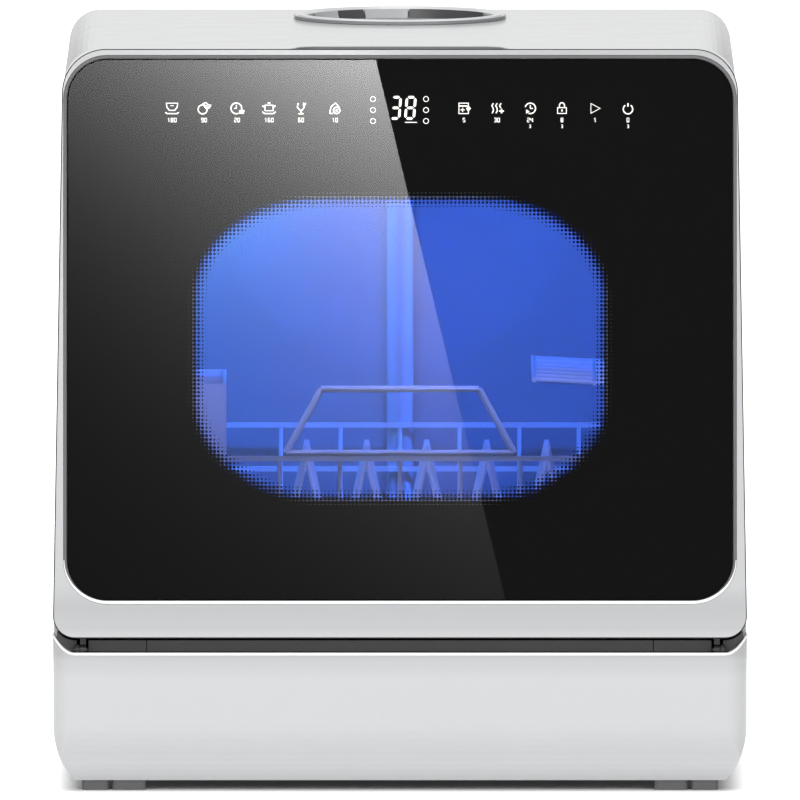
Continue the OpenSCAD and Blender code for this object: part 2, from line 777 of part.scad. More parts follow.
module fill_funnel() {
    top = body_h + fit;
    low = body_h - funnel_deep;
    color(tub_grey) difference() {
        union() {
            translate([0, port_y, 0]) rotate_extrude() polygon([
                [throat_r, low], [throat_r + 3, low], [bowl_r - 4, top - 6], [bowl_r - fit, top - 3],
                [bowl_r - fit, top], [bowl_r - fit - funnel_t, top],
                [bowl_r - fit - funnel_t, top - 3], [bowl_r - 6, top - 6 + funnel_t],
                [throat_r, low + funnel_t]]);
            translate([0, port_y, 0]) rotate_extrude() polygon([
                [0, low], [throat_r + eps, low], [throat_r + eps, low + funnel_t],
                [0, low + funnel_t]]);
            // Covered channel that leads back to the spout over the tank
            block([-channel_hw, port_y + 6, channel_z],
                [channel_hw, spout_y + spout_r + funnel_t, low + 1.2]);
            rod_z(tank_top + fit, channel_z + eps, 0, spout_y, 2 * spout_r);
        }
        block([funnel_t - channel_hw, port_y + 6 + funnel_t, channel_z + funnel_t],
            [channel_hw - funnel_t, spout_y + spout_r, low - 0.4]);
        rod_z(low - 1, low + funnel_t + 1, 0, port_y + 15, 10);
        rod_z(tank_top - 1, channel_z + funnel_t + 1, 0, spout_y, 2 * spout_r - 2 * funnel_t);
    }
}

module fill_strainer() {
    low = body_h - funnel_deep + funnel_t + fit;
    color(grey) translate([0, port_y, 0]) {
        difference() {
            rod_z(low, low + 5, 0, 0, 2 * strainer_r);
            rod_z(low + 1.5, low + 6, 0, 0, 2 * strainer_r - 3);
            for (i = [0 : 11]) rotate(i * 30) rod_z(low - 1, low + 2, strainer_r * 0.66, 0, 3);
            for (i = [0 : 5]) rotate(i * 60) rod_z(low - 1, low + 2, strainer_r * 0.33, 0, 3);
        }
        // Upright grip to lift the strainer out
        block([-strainer_r + 1.5, -1, low + 1.2], [strainer_r - 1.5, 1, low + 11]);
    }
}

tank_x0 = -panel_hw;
tank_x1 = fan_x - fan_box / 2 - 6;
tank_y0 = tub_back + wall + 2;
tank_y1 = rear_y - panel_t - 4;
spout_r = 7;

module water_tank() {
    color([0.85, 0.9, 0.95, 0.8]) difference() {
        block([tank_x0, tank_y0, base_h], [tank_x1, tank_y1, tank_top]);
        block([tank_x0 + wall, tank_y0 + wall, base_h + wall],
            [tank_x1 - wall, tank_y1 - wall, tank_top - wall]);
        rod_z(tank_top - wall - 1, tank_top + 1, 0, spout_y, 2 * spout_r);
        rod_z(base_h - 1, base_h + wall + 1, port_x[1], valve_y, 8);
    }
}

// Water circuit in the base
sump_low = 52;
stub_d = 22;
stub_bore = 17;
chamber_w = 28;
chamber_wall = 2.5;
chamber_x0 = -14;
drain_x1 = sump_x - sump_d / 2 - wall - 6;
drain_w = 22;
drain_motor_d = 34;
drain_motor_x0 = 33.5 - hw;
drain_mount_x = (drain_motor_x0 + drain_x1 - drain_w) / 2;
valve_y = rear_y - 32.5;
valve_hl = 14;
valve_low = 18;
shaft_d = 6;
vane_t = 1.4;
cap_d = 26;

module sump() {
    color(dark) difference() {
        union() {
            rod_z(sump_low - pump_bottom, tub_under, sump_x, sump_y, sump_d + 2 * wall);
            rod_z(tub_under - 3, tub_under, sump_x, sump_y, sump_d + 24);
            rod_x(sump_x, chamber_x0, sump_y, pump_z, stub_d);
            rod_x(drain_x1, sump_x, sump_y, pump_z, stub_d);
        }
        rod_z(sump_low - pump_bottom + wall, tub_under + 1, sump_x, sump_y, sump_d);
        rod_x(drain_x1 - 1, chamber_x0 + 1, sump_y, pump_z, stub_bore);
    }
}

pump_bottom = 22;
cup_d = 52;

module filter_cup() {
    low = sump_low - 16;
    color(grey) translate([sump_x, sump_y, 0]) difference() {
        union() {
            rod_z(low, tub_floor + 5, 0, 0, cup_d);
            rod_z(tub_floor + 2.4, tub_floor + 5, 0, 0, cup_d + 10);
        }
        rod_z(low + 1.5, tub_floor + 6, 0, 0, cup_d - 3);
        // Mesh windows in the wall of the cup
        for (i = [0 : 11]) rotate(15 + i * 30) rod_x(0, cup_d, 0, low + 12, 8);
        for (i = [0 : 11]) rotate(i * 30) rod_x(0, cup_d, 0, low + 24, 8);
    }
    // Turning handle across the mouth
    color(grey) translate([sump_x, sump_y, 0])
        block([1.5 - cup_d / 2, -1.5, tub_floor - 6], [cup_d / 2 - 1.5, 1.5, tub_floor + 8]);
}

plate_d = 92;

module filter_plate() {
    color(steel) translate([sump_x, sump_y, 0]) difference() {
        rod_z(tub_floor, tub_floor + 2, 0, 0, plate_d);
        rod_z(tub_floor - 1, tub_floor + 3, 0, 0, cup_d + 1);
        for (r = [30.5, 35, 39.5], i = [0 : 23])
            rotate(i * 15 + r) translate([r, 0, tub_floor - 1]) cylinder(h = 4, d = 2.4, $fn = 8);
    }
}

module wash_pump() {
    color(dark) difference() {
        union() {
            rod_x(chamber_x0 + fit, chamber_x0 + chamber_w, sump_y, pump_z, pump_d);
            rod_y(sump_y - pump_d / 2 - 7, sump_y + pump_d / 2 + 7, 0, pump_z, pipe_d);
        }
        rod_x(chamber_x0 + chamber_wall, chamber_x0 + chamber_w - chamber_wall, sump_y, pump_z,
            pump_d - 2 * chamber_wall);
        rod_x(chamber_x0 - 1, chamber_x0 + chamber_wall + 1, sump_y, pump_z, stub_bore);
        rod_x(0, chamber_x0 + chamber_w + 1, sump_y, pump_z, shaft_d + 2);
        rod_y(sump_y - pump_d / 2 - 8, sump_y + pump_d / 2 + 8, 0, pump_z, pipe_d - 4);
    }
}

module impeller(x0, x1, r, shaft, shaft_x0, shaft_x1, y, z) {
    rod_x(x0, x0 + 2, y, z, 2 * r);
    rod_x(shaft_x0, shaft_x1, y, z, shaft);
    for (i = [0 : 5]) translate([x0, y, z]) rotate([i * 60, 0, 0])
        block([0, -vane_t / 2, shaft / 2 - 0.5], [x1 - x0, vane_t / 2, r - 1]);
}

module wash_impeller() {
    color(white) impeller(chamber_x0 + 6, chamber_x0 + chamber_w - 6, pump_d / 2 - 6, shaft_d,
        chamber_x0 + 5, motor_x + 30, sump_y, pump_z);
}

module wash_motor() {
    color(steel) difference() {
        union() {
            rod_x(motor_x, motor_x + motor_len, sump_y, pump_z, motor_d);
            rod_x(motor_x + motor_len - 1, motor_x + motor_len + 5, sump_y, pump_z, 18);
        }
        rod_x(motor_x - 1, motor_x + 34, sump_y, pump_z, shaft_d + 2 * run);
    }
}

module drain_pump() {
    color(dark) difference() {
        union() {
            rod_x(drain_x1 - drain_w, drain_x1 - fit, sump_y, pump_z, drain_d);
            rod_x(drain_motor_x0, drain_x1 - drain_w + 1, sump_y, pump_z, drain_motor_d);
            rod_y(sump_y, sump_y + drain_d / 2 + 8, port_x[0], pump_z, 14);
        }
        rod_x(drain_x1 - drain_w + 2.5, drain_x1 - fit - 2.5, sump_y, pump_z, drain_d - 5);
        rod_x(drain_x1 - 4, drain_x1 + 1, sump_y, pump_z, stub_bore);
        rod_x(drain_mount_x - 3, drain_x1 - drain_w + 4, sump_y, pump_z, 5);
        rod_y(sump_y, sump_y + drain_d / 2 + 9, port_x[0], pump_z, 10);
    }
}

module drain_impeller() {
    color(white) impeller(drain_x1 - drain_w + 5, drain_x1 - 6, drain_d / 2 - 5, 4,
        drain_mount_x + 1, drain_x1 - 5, sump_y, pump_z);
}

module drain_hose() {
    color(dark) difference() {
        rod_y(sump_y + drain_d / 2 + 8, rear_y - 12, port_x[0], port_z, 14);
        rod_y(sump_y + drain_d / 2 + 7, rear_y - 11, port_x[0], port_z, 10);
    }
}

pipe_t = 2;
hub_base_d = 36;
spindle_d = 16;
lower_arm_z = tub_floor + 11.5;
elbow = pipe_d / 2;

module pipe_run(y0, y1, z_top) {
    // Level pipe from the pump outlet to an upright pipe with a mitred elbow
    difference() {
        union() {
            rod_y(min(y0, y1), max(y0, y1), 0, pump_z, pipe_d);
            rod_z(pump_z - elbow, z_top, 0, y1, pipe_d);
        }
        rod_y(min(y0, y1) - (y1 > y0 ? 1 : 0), max(y0, y1) + (y1 > y0 ? 0 : 1), 0, pump_z,
            pipe_d - 2 * pipe_t - 0.4);
        rod_z(pump_z - 4, z_top + 1, 0, y1, pipe_d - 2 * pipe_t);
    }
}

module delivery_pipes() {
    color(dark) {
        pipe_run(sump_y - pump_d / 2 - 7, hub_y, tub_floor);
        pipe_run(sump_y + pump_d / 2 + 7, feed_y, tub_floor);
    }
}

heater_r = 50;
heater_d = 7;
heater_z = tub_floor + 5;

module heater() {
    color(steel) translate([0, hub_y, 0]) {
        translate([0, 0, heater_z]) rotate([0, 0, -60]) rotate_extrude(angle = 300)
            translate([heater_r, 0]) circle(d = heater_d);
        // Feet that hold the loop off the floor
        for (a = [-40, 80, 200]) rotate(a)
            rod_z(tub_floor, heater_z - heater_d / 2 + 0.6, heater_r, 0, 4);
    }
}

module lower_hub() {
    color(dark) difference() {
        union() {
            rod_z(tub_floor, lower_arm_z - run, 0, hub_y, hub_base_d);
            rod_z(tub_floor, lower_arm_z + arm_t + run + 0.5, 0, hub_y, spindle_d);
            rod_z(lower_arm_z + arm_t + run, lower_arm_z + arm_t + run + 3, 0, hub_y, cap_d);
        }
        rod_z(tub_floor - 1, lower_arm_z + arm_t - 2, 0, hub_y, pipe_d - 2 * pipe_t);
    }
}

// Spray arm: a hub with two tapering blades and a row of nozzles in each
module spray_arm(length, up) {
    tip_r = 11;
    root = 15;
    difference() {
        linear_extrude(arm_t) union() {
            circle(r = 24);
            polygon([[-length / 2 + tip_r, -tip_r], [0, -root], [length / 2 - tip_r, -tip_r],
                [length / 2 - tip_r, tip_r], [0, root], [-length / 2 + tip_r, tip_r]]);
            for (s = [-1, 1]) translate([s * (length / 2 - tip_r - 0.4), 0]) circle(r = tip_r);
        }
        translate([0, 0, -1]) cylinder(h = arm_t + 2, d = spindle_d + 2 * run);
        // Nozzles
        for (s = [-1, 1], k = [0 : 4])
            translate([s * (34 + k * (length / 2 - 48) / 4), (k % 2) * 6 - 3,
                    up ? arm_t - 3 : -1]) cylinder(h = 4, d = 3);
    }
}

module lower_spray_arm() {
    color(grey) translate([0, hub_y, lower_arm_z]) spray_arm(lower_arm_l, true);
}

feed_z = tub_top - pipe_d / 2 - 1.5;
upper_arm_z = feed_z - pipe_d / 2 - arm_t - 5;

module upper_feed_pipe() {
    color(grey) difference() {
        union() {
            rod_z(tub_floor, feed_z + elbow, 0, feed_y, pipe_d);
            rod_y(hub_y, feed_y, 0, feed_z, pipe_d);
            rod_z(upper_arm_z + arm_t + run, feed_z + elbow - 0.5, 0, hub_y, pipe_d + 8);
            rod_z(upper_arm_z - run - 0.5, feed_z, 0, hub_y, spindle_d);
            rod_z(upper_arm_z - run - 3, upper_arm_z - run, 0, hub_y, cap_d);
        }
        rod_z(tub_floor - 1, feed_z, 0, feed_y, pipe_d - 2 * pipe_t);
        rod_y(hub_y, feed_y, 0, feed_z, pipe_d - 2 * pipe_t - 0.4);
        rod_z(upper_arm_z + 2, feed_z, 0, hub_y, pipe_d - 2 * pipe_t);
    }
}

module upper_spray_arm() {
    color(grey) translate([0, hub_y, upper_arm_z]) spray_arm(upper_arm_l, false);
}

// Wire basket: a floor grid, four wall grids, bent rail corners, roller legs and shelf posts
basket_r = 16;
side_wires = 7;
floor_wires = 9;
rail_z = [rim_z, (rim_z + basket_z) / 2];
upright_d = wire_d - 0.4;
in_x = basket_hw - wire_d / 2;
in_y0 = basket_front + wire_d / 2;
in_y1 = basket_rear - wire_d / 2;
wall_z = basket_z + wire_d + seat_gap;

function spread(from, to, n, k) = from + (to - from) * k / (n - 1);
function side_wire_y(k) = spread(in_y0 + basket_r, in_y1 - basket_r, side_wires, k);
function floor_wire_x(k) = spread(basket_r - in_x, in_x - basket_r, floor_wires, k);

module shelf_posts() {
    for (y = shelf_post_y) difference() {
        block([shelf_x - 4, y - 2, rim_z + wire_d / 2 + seat_gap], [basket_hw, y + 2, shelf_z + 5]);
        rod_y(y - 3, y + 3, shelf_x, shelf_z, shelf_d + 2 * pin_fit);
    }
}

module rail_outline() {
    difference() {
        polygon(plain(basket_hw, basket_front, basket_rear, basket_r));
        polygon(plain(basket_hw - wire_d, basket_front + wire_d, basket_rear - wire_d,
            basket_r - wire_d));
    }
}

module basket_floor() {
    along_z(basket_z, basket_z + wire_d) rail_outline();
    for (k = [0 : side_wires - 1])
        wire([-in_x, side_wire_y(k), basket_z + upright_d / 2],
            [in_x, side_wire_y(k), basket_z + upright_d / 2], upright_d);
    for (k = [0 : floor_wires - 1])
        wire([floor_wire_x(k), in_y0, basket_z + wire_d - upright_d / 2],
            [floor_wire_x(k), in_y1, basket_z + wire_d - upright_d / 2], upright_d);
}

module basket_walls() {
    half = wire_d / 2;
    end_x = basket_hw - basket_r;
    for (y = [in_y0, in_y1]) {
        for (z = rail_z) block([-end_x, y - half, z - half], [end_x, y + half, z + half]);
        for (k = [0 : floor_wires - 1])
            wire([floor_wire_x(k), y, wall_z], [floor_wire_x(k), y, rim_z], upright_d);
    }
    for (x = [-in_x, in_x]) {
        for (z = rail_z) block([x - half, basket_front + basket_r, z - half],
            [x + half, basket_rear - basket_r, z + half]);
        for (k = [0 : side_wires - 1])
            wire([x, side_wire_y(k), wall_z], [x, side_wire_y(k), rim_z], upright_d);
    }
    // Bent corners between the straight rails
    for (z = rail_z) along_z(z - half, z + half) difference() {
        rail_outline();
        square([2 * end_x + 2 * seat_gap, body_d * 2], center = true);
        translate([-hw, basket_front + basket_r - seat_gap])
            square([body_w, basket_l - 2 * basket_r + 2 * seat_gap]);
    }
}

module basket() {
    color(grey) {
        basket_floor();
        basket_walls();
        shelf_posts();
        // Legs and axles of the rollers
        both_sides() for (y = [front_roller_y, rear_roller_y]) {
            block([basket_hw - wire_d, y - 5, roller_z - 4], [basket_hw, y + 5, basket_z - seat_gap]);
            rod_x(basket_hw - 1, basket_hw + roller_w + 2 * run + 2, y, roller_z, axle_d);
        }
    }
}

roller_w = 6;
axle_d = 5;

module rollers(y) {
    both_sides() difference() {
        rod_x(basket_hw + run, basket_hw + run + roller_w, y, roller_z, roller_d);
        rod_x(basket_hw, basket_hw + run + roller_w + 1, y, roller_z, axle_d + 2 * pin_fit);
    }
}

module front_rollers() { color(white) rollers(front_roller_y); }
module rear_rollers() { color(white) rollers(rear_roller_y); }

cutlery_w = 48;
cutlery_l = 110;
cutlery_h = 90;
cutlery_x0 = wire_d + 6 - basket_hw;
cutlery_y0 = mid_y - 70;
cutlery_z0 = basket_z + wire_d + fit;
cutlery_t = 2;

tine_h = 44;
tine_d = 2.6;
tine_spread = 10;
tine_x0 = cutlery_x0 + cutlery_w + 20;
tine_x1 = basket_hw - 45;
tine_pitch = (tine_x1 - tine_x0 - 56) / 4;
tine_margin = 56;
row_pitch = (basket_l - 2 * tine_margin) / 4;
tine_z = basket_z + wire_d + tine_d / 2 + 0.95;

module plate_tines() {
    color(grey) for (row = [0 : 4]) {
        y = basket_front + 44 + row * row_pitch;
        wire([tine_x0, y, tine_z], [tine_x1, y, tine_z], tine_d);
        for (k = [0 : 4], side = [-1, 1]) {
            x = tine_x0 + 28 + k * tine_pitch;
            wire([x + side * tine_spread, y, tine_z], [x, y, tine_z + tine_h], tine_d);
        }
    }
}

handle_top = 47;
handle_foot = 68;
handle_rise = 38;
handle_d = 4;

module basket_handle() {
    y = basket_front + wire_d / 2;
    z = rim_z + wire_d / 2 + handle_d / 2;
    color(grey) {
        wire([-handle_foot, y, z], [-handle_top, y, z + handle_rise], handle_d);
        wire([handle_foot, y, z], [handle_top, y, z + handle_rise], handle_d);
        wire([-handle_top, y, z + handle_rise], [handle_top, y, z + handle_rise], handle_d);
        wire([-handle_foot, y, z], [handle_foot, y, z], handle_d - 0.4);
    }
}

// Cutlery basket: a slotted floor, two slotted walls, two plain ends and a divider
module cutlery_basket() {
    x1 = cutlery_x0 + cutlery_w;
    y1 = cutlery_y0 + cutlery_l;
    top = cutlery_z0 + cutlery_h;
    wall_low = cutlery_z0 + cutlery_t + seat_gap;
    color(grey) {
        difference() {
            block([cutlery_x0, cutlery_y0, cutlery_z0], [x1, y1, cutlery_z0 + cutlery_t]);
            for (k = [0 : 6], j = [0 : 2])
                block([cutlery_x0 + 6 + j * 13, cutlery_y0 + 8 + k * 14, cutlery_z0 - 1],
                    [cutlery_x0 + 14 + j * 13, cutlery_y0 + 14 + k * 14, cutlery_z0 + 3]);
        }
        for (x = [cutlery_x0, x1 - cutlery_t]) difference() {
            block([x, cutlery_y0, wall_low], [x + cutlery_t, y1, top]);
            for (k = [0 : 6], j = [0 : 2])
                block([x - 1, cutlery_y0 + 8 + k * 14, cutlery_z0 + 10 + j * 25],
                    [x + cutlery_t + 1, cutlery_y0 + 14 + k * 14, cutlery_z0 + 28 + j * 25]);
        }
        for (y = [cutlery_y0, cutlery_y0 + (cutlery_l - cutlery_t) / 2, y1 - cutlery_t])
            block([cutlery_x0 + cutlery_t + seat_gap, y, wall_low],
                [x1 - cutlery_t - seat_gap, y + cutlery_t, top]);
    }
}

shelf_z = rim_z + 40;
shelf_d = 4;
shelf_w = 72;
shelf_l = basket_l - 76;
shelf_x = basket_hw - wire_d - 6;
shelf_post_y = [mid_y - shelf_l / 2 - 6, mid_y + shelf_l / 2 + 6];

module cup_shelf() {
    color(grey) {
        rod_y(shelf_post_y[0] - 3, shelf_post_y[1] + 3, shelf_x, shelf_z, shelf_d);
        for (k = [0 : 6]) {
            y = mid_y - shelf_l / 2 + 6 + k * (shelf_l - 12) / 6;
            wire([shelf_x, y, shelf_z], [shelf_x - shelf_w, y, shelf_z + 4], 2.6);
        }
        for (f = [0.5, 1])
            wire([shelf_x - shelf_w * f, mid_y - shelf_l / 2, shelf_z + 4 * f],
                [shelf_x - shelf_w * f, mid_y + shelf_l / 2, shelf_z + 4 * f], 3);
    }
}

module tub_lamp() {
    y = lean_y(flange_w1, lean_v(flange_w1, tub_top)) + 20;
    color([0.45, 0.6, 1]) block([56 - tub_hw, y, tub_top - 6], [tub_hw - 56, y + 12, tub_top]);
}

duct_y = tub_back + wall;
fan_y0 = duct_y + 14;
fan_y1 = rear_y - panel_t - 3;

module air_duct() {
    color(dark) difference() {
        rod_y(duct_y, fan_y0, fan_x, fan_z, vent_d + 8);
        rod_y(duct_y - 1, fan_y0 + 1, fan_x, fan_z, vent_d + 2);
    }
}

module fan_housing() {
    color(dark) {
        difference() {
            block([fan_x - fan_box / 2, fan_y0, fan_z - fan_box / 2],
                [fan_x + fan_box / 2, fan_y1, fan_z + fan_box / 2]);
            rod_y(fan_y0 - 1, fan_y1 + 1, fan_x, fan_z, fan_bore);
        }
        // Motor boss on two spokes
        difference() {
            union() {
                rod_y(fan_y0, fan_y0 + 8, fan_x, fan_z, 20);
                block([fan_x - fan_bore / 2 - 1, fan_y0, fan_z - 2],
                    [fan_x + fan_bore / 2 + 1, fan_y0 + 3, fan_z + 2]);
                block([fan_x - 2, fan_y0, fan_z - fan_bore / 2 - 1],
                    [fan_x + 2, fan_y0 + 3, fan_z + fan_bore / 2 + 1]);
            }
            rod_y(fan_y0 + 3, fan_y0 + 9, fan_x, fan_z, 4 + 2 * run);
        }
    }
}

rotor_hub_d = 22;
blade_w = 14;
blade_t = 2;

module fan_rotor() {
    color(white) {
        rod_y(fan_y0 + 9, fan_y1 - 3, fan_x, fan_z, rotor_hub_d);
        rod_y(fan_y0 + 4, fan_y0 + 10, fan_x, fan_z, 4);
        for (i = [0 : 6]) translate([fan_x, 0, fan_z]) rotate([0, i * 360 / 7, 0])
            translate([rotor_hub_d / 2 - 1, (fan_y0 + fan_y1) / 2 + 3, 0]) rotate([40, 0, 0])
                block([0, -blade_t / 2, -blade_w / 2],
                    [fan_bore / 2 - rotor_hub_d / 2 - 1, blade_t / 2, blade_w / 2]);
    }
}

board_x0 = hw - 110;
board_w = 84;
board_y0 = front_y + 52.5;
board_l = 120;
board_z = 20;

board_edge = 12;
transformer = [24, 28, 18];
relay = [16, 22, 15];
heat_sink = [16, 30, 12];
capacitor_d = 11;
capacitor_h = 20;
capacitor_pitch = 14;
connector = [58, 10, 9];

module board_corners() {
    for (x = [board_x0 + 5, board_x0 + board_w - 5], y = [board_y0 + 5, board_y0 + board_l - 5])
        translate([x, y, 0]) children();
}

module control_board() {
    color("#1f6b46") block([board_x0, board_y0, board_z],
        [board_x0 + board_w, board_y0 + board_l, board_z + 1.6]);
    color(dark) translate([board_x0, board_y0, board_z + 1.6]) {
        translate([board_edge, board_edge, 0]) block([0, 0, 0], transformer);
        translate([board_edge + transformer.x + 8, board_edge, 0]) block([0, 0, 0], relay);
        translate([board_edge + 2, board_edge + 40, 0]) block([0, 0, 0], heat_sink);
        for (k = [0 : 2]) rod_z(0, capacitor_h, board_w / 2 + k * capacitor_pitch,
            board_l / 2, capacitor_d);
        translate([board_edge, board_l - board_edge - connector.y - 2, 0])
            block([0, 0, 0], connector);
    }
}

module inlet_valve() {
    color(white) difference() {
        union() {
            block([port_x[1] - 12, valve_y - valve_hl, port_z - valve_low],
                [port_x[1] + 12, valve_y + valve_hl, port_z + 14]);
            rod_y(valve_y + valve_hl - 1, rear_y - 12, port_x[1], port_z, 14);
            rod_z(port_z + 13, base_h, port_x[1], valve_y, 10);
        }
        rod_y(valve_y + 2, rear_y - 11, port_x[1], port_z, 10);
        rod_z(port_z, base_h + 1, port_x[1], valve_y, 6);
    }
}

module hose_ports() {
    color(dark) for (x = port_x) difference() {
        union() {
            rod_y(rear_y - wall - 3, rear_y - wall - fit, x, port_z, port_bore + 5);
            rod_y(rear_y - 12, rear_y, x, port_z, 19);
        }
        rod_y(rear_y - 13, rear_y + 1, x, port_z, 14);
    }
}

module power_inlet() {
    color(dark) difference() {
        union() {
            rod_y(rear_y - 14, rear_y, gland_x, port_z, gland_d);
            rod_y(rear_y - wall - 3, rear_y - wall - fit, gland_x, port_z, gland_d + 8);
        }
        rod_y(rear_y - 15, rear_y + 1, gland_x, port_z, 8);
    }
}

outer_shell();
rear_panel();
rear_screws();
base_shell();
bottom_plate();
bottom_screws();
base_deck();
front_feet();
rear_feet();
tub();
front_frame();
door_seal();
door_frame();
glass_panel();
glass_bezel();
door_liner();
inner_window();
touch_board();
display_module();
latch_tongue();
catch_housing();
catch_lever();
hinge_arms();
hinge_brackets();
hinge_pins();
fill_collar();
fill_funnel();
fill_strainer();
water_tank();
sump();
filter_cup();
filter_plate();
wash_pump();
wash_impeller();
wash_motor();
drain_pump();
drain_impeller();
drain_hose();
delivery_pipes();
heater();
lower_hub();
lower_spray_arm();
upper_feed_pipe();
upper_spray_arm();
basket();
plate_tines();
basket_handle();
front_rollers();
rear_rollers();
cutlery_basket();
cup_shelf();
tub_lamp();
air_duct();
fan_housing();
fan_rotor();
control_board();
inlet_valve();
power_inlet();
hose_ports();
detergent_cup();
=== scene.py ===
"""Countertop dishwasher: finishes, fine pieces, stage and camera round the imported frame."""
import json
import math

import bmesh
import bpy
from mathutils import Matrix, Vector


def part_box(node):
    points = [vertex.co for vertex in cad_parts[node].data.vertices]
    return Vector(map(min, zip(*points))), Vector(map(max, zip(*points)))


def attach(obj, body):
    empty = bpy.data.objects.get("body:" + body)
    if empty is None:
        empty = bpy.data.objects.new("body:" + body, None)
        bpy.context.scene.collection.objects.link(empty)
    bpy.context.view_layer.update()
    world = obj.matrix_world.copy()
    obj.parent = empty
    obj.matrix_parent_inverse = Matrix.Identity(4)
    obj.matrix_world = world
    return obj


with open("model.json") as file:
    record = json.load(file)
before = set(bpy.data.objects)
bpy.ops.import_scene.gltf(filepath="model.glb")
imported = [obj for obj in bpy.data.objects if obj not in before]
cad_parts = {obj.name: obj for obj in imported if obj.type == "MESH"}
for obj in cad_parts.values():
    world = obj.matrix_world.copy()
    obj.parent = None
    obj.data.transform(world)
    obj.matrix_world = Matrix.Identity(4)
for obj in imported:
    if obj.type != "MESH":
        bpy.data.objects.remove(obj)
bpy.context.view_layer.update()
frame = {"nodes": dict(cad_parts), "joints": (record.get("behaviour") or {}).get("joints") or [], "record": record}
NODES = frame["nodes"]

MM = 0.001
LEAN = math.radians(5)
HINGE = Vector(next(j["pos_m"] for j in frame["joints"] if j["name"] == "door_hinge"))
DOOR = Matrix.Translation(HINGE) @ Matrix.Rotation(-LEAN, 4, "X")

# The photograph's view: its middle pixel, pixels to a millimetre, tilt, distance and aim
PHOTO_MID = 400
PX = 1.6845
ELEV = math.radians(4.5)
DIST = 22.0
TARGET = Vector((0, 0, 0.2176))

# Planes of the door, in millimetres behind the hinge axis and square to the closed door
GLASS_FRONT = -6.0
GLASS_BACK = -2.8
PRINT_W = GLASS_BACK - 0.22
FRIT_W = GLASS_BACK - 0.12
RING_W = GLASS_BACK - 0.06
DOOR_FACE = -5.5
SKIN_FRONT = -6.3

# Outlines in the plane of the door, in millimetres
GLASS_HALF_W = 197.7
GLASS_LOW, GLASS_HIGH, GLASS_R = 29.5, 351.1, 24.0
BEZEL_W, BEZEL_R = 2.1, 26.0
WINDOW_HALF_W = 122.0
WINDOW_LOW, WINDOW_HIGH = 89.0, 269.0
WINDOW_CORNER = (80.0, 60.0)
DOOR_LOW, DOOR_LOW_HW, DOOR_HIGH_HW = 7.0, 206.0, 200.7
DOOR_LOW_R, DOOR_HIGH_R = 13.0, 26.0
ARC_STEPS = 16


# ---------------------------------------------------------------- helpers
def link(obj, body):
    """Puts a new piece in the scene and makes it ride on a body."""
    bpy.context.scene.collection.objects.link(obj)
    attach(obj, body)


def mesh_object(name, verts, faces, mat):
    """A flat-shaded mesh object from points in metres."""
    mesh = bpy.data.meshes.new(name)
    mesh.from_pydata([tuple(v) for v in verts], [], faces)
    mesh.validate()
    mesh.update()
    mesh.materials.append(mat)
    return bpy.data.objects.new(name, mesh)


def give_sheet(obj, thickness):
    """Turns a flat print into a closed thin layer."""
    solid = obj.modifiers.new("sheet", "SOLIDIFY")
    solid.thickness = thickness * MM
    solid.offset = 0
    return obj


def add_bevel(obj, width, angle):
    """Rounds edges sharper than an angle in degrees."""
    bevel = obj.modifiers.new("soft_edge", "BEVEL")
    bevel.width = width * MM
    bevel.segments = 3
    bevel.limit_method = "ANGLE"
    bevel.angle_limit = math.radians(angle)
    return bevel


def bar_faces(count):
    """Faces of a bar with square ends, made of cross-sections of four corners each."""
    faces = []
    for k in range(count - 1):
        for m in range(4):
            j = (m + 1) % 4
            faces.append((4 * k + m, 4 * k + 4 + m, 4 * k + 4 + j, 4 * k + j))
    last = 4 * count
    return faces + [(0, 1, 2, 3), (last - 1, last - 2, last - 3, last - 4)]


def door_point(x, w, v):
    """A point in the door's own plane, in millimetres, as a place in the frame in metres."""
    return DOOR @ Vector((x * MM, w * MM, v * MM))


def x_of(px):
    """Place across the object, in millimetres, of a column of the photograph."""
    return (px - PHOTO_MID) / PX


def v_of(py, w=PRINT_W):
    """Height in a plane of the door, in millimetres, of a row of the photograph."""
    rise = (PHOTO_MID - py) / PX + TARGET.z / MM * math.cos(ELEV)
    base = HINGE.z / MM * math.cos(ELEV) + HINGE.y / MM * math.sin(ELEV)
    return (rise - base - w * math.sin(ELEV - LEAN)) / math.cos(LEAN - ELEV)


def corner_arcs(corners):
    """Outline points round corners, each given as (x, v, radius, first angle)."""
    points = []
    for cx, cv, radius, start in corners:
        for i in range(ARC_STEPS + 1):
            a = math.radians(start + 90 * i / ARC_STEPS)
            points.append((cx + radius * math.cos(a), cv + radius * math.sin(a)))
    return points


def rounded(half_w, low, high, radius):
    """Outline of a rounded rectangle in the plane of the door."""
    return corner_arcs([(half_w - radius, low + radius, radius, -90),
                        (half_w - radius, high - radius, radius, 0),
                        (radius - half_w, high - radius, radius, 90),
                        (radius - half_w, low + radius, radius, 180)])


def glass_edge(inset, radius):
    """Outline of the glass, set in from its edge."""
    return rounded(GLASS_HALF_W - inset, GLASS_LOW + inset, GLASS_HIGH - inset, radius)


def door_edge(inset, top_v):
    """Outline of the door, set in from its sides, up to a height of its own."""
    low_hw, high_hw = DOOR_LOW_HW - inset, DOOR_HIGH_HW - inset
    low_r, high_r = DOOR_LOW_R - inset, DOOR_HIGH_R - inset
    low_v = DOOR_LOW + inset
    return corner_arcs([(low_hw - low_r, low_v + low_r, low_r, -90),
                        (high_hw - high_r, top_v - high_r, high_r, 0),
                        (high_r - high_hw, top_v - high_r, high_r, 90),
                        (low_r - low_hw, low_v + low_r, low_r, 180)])


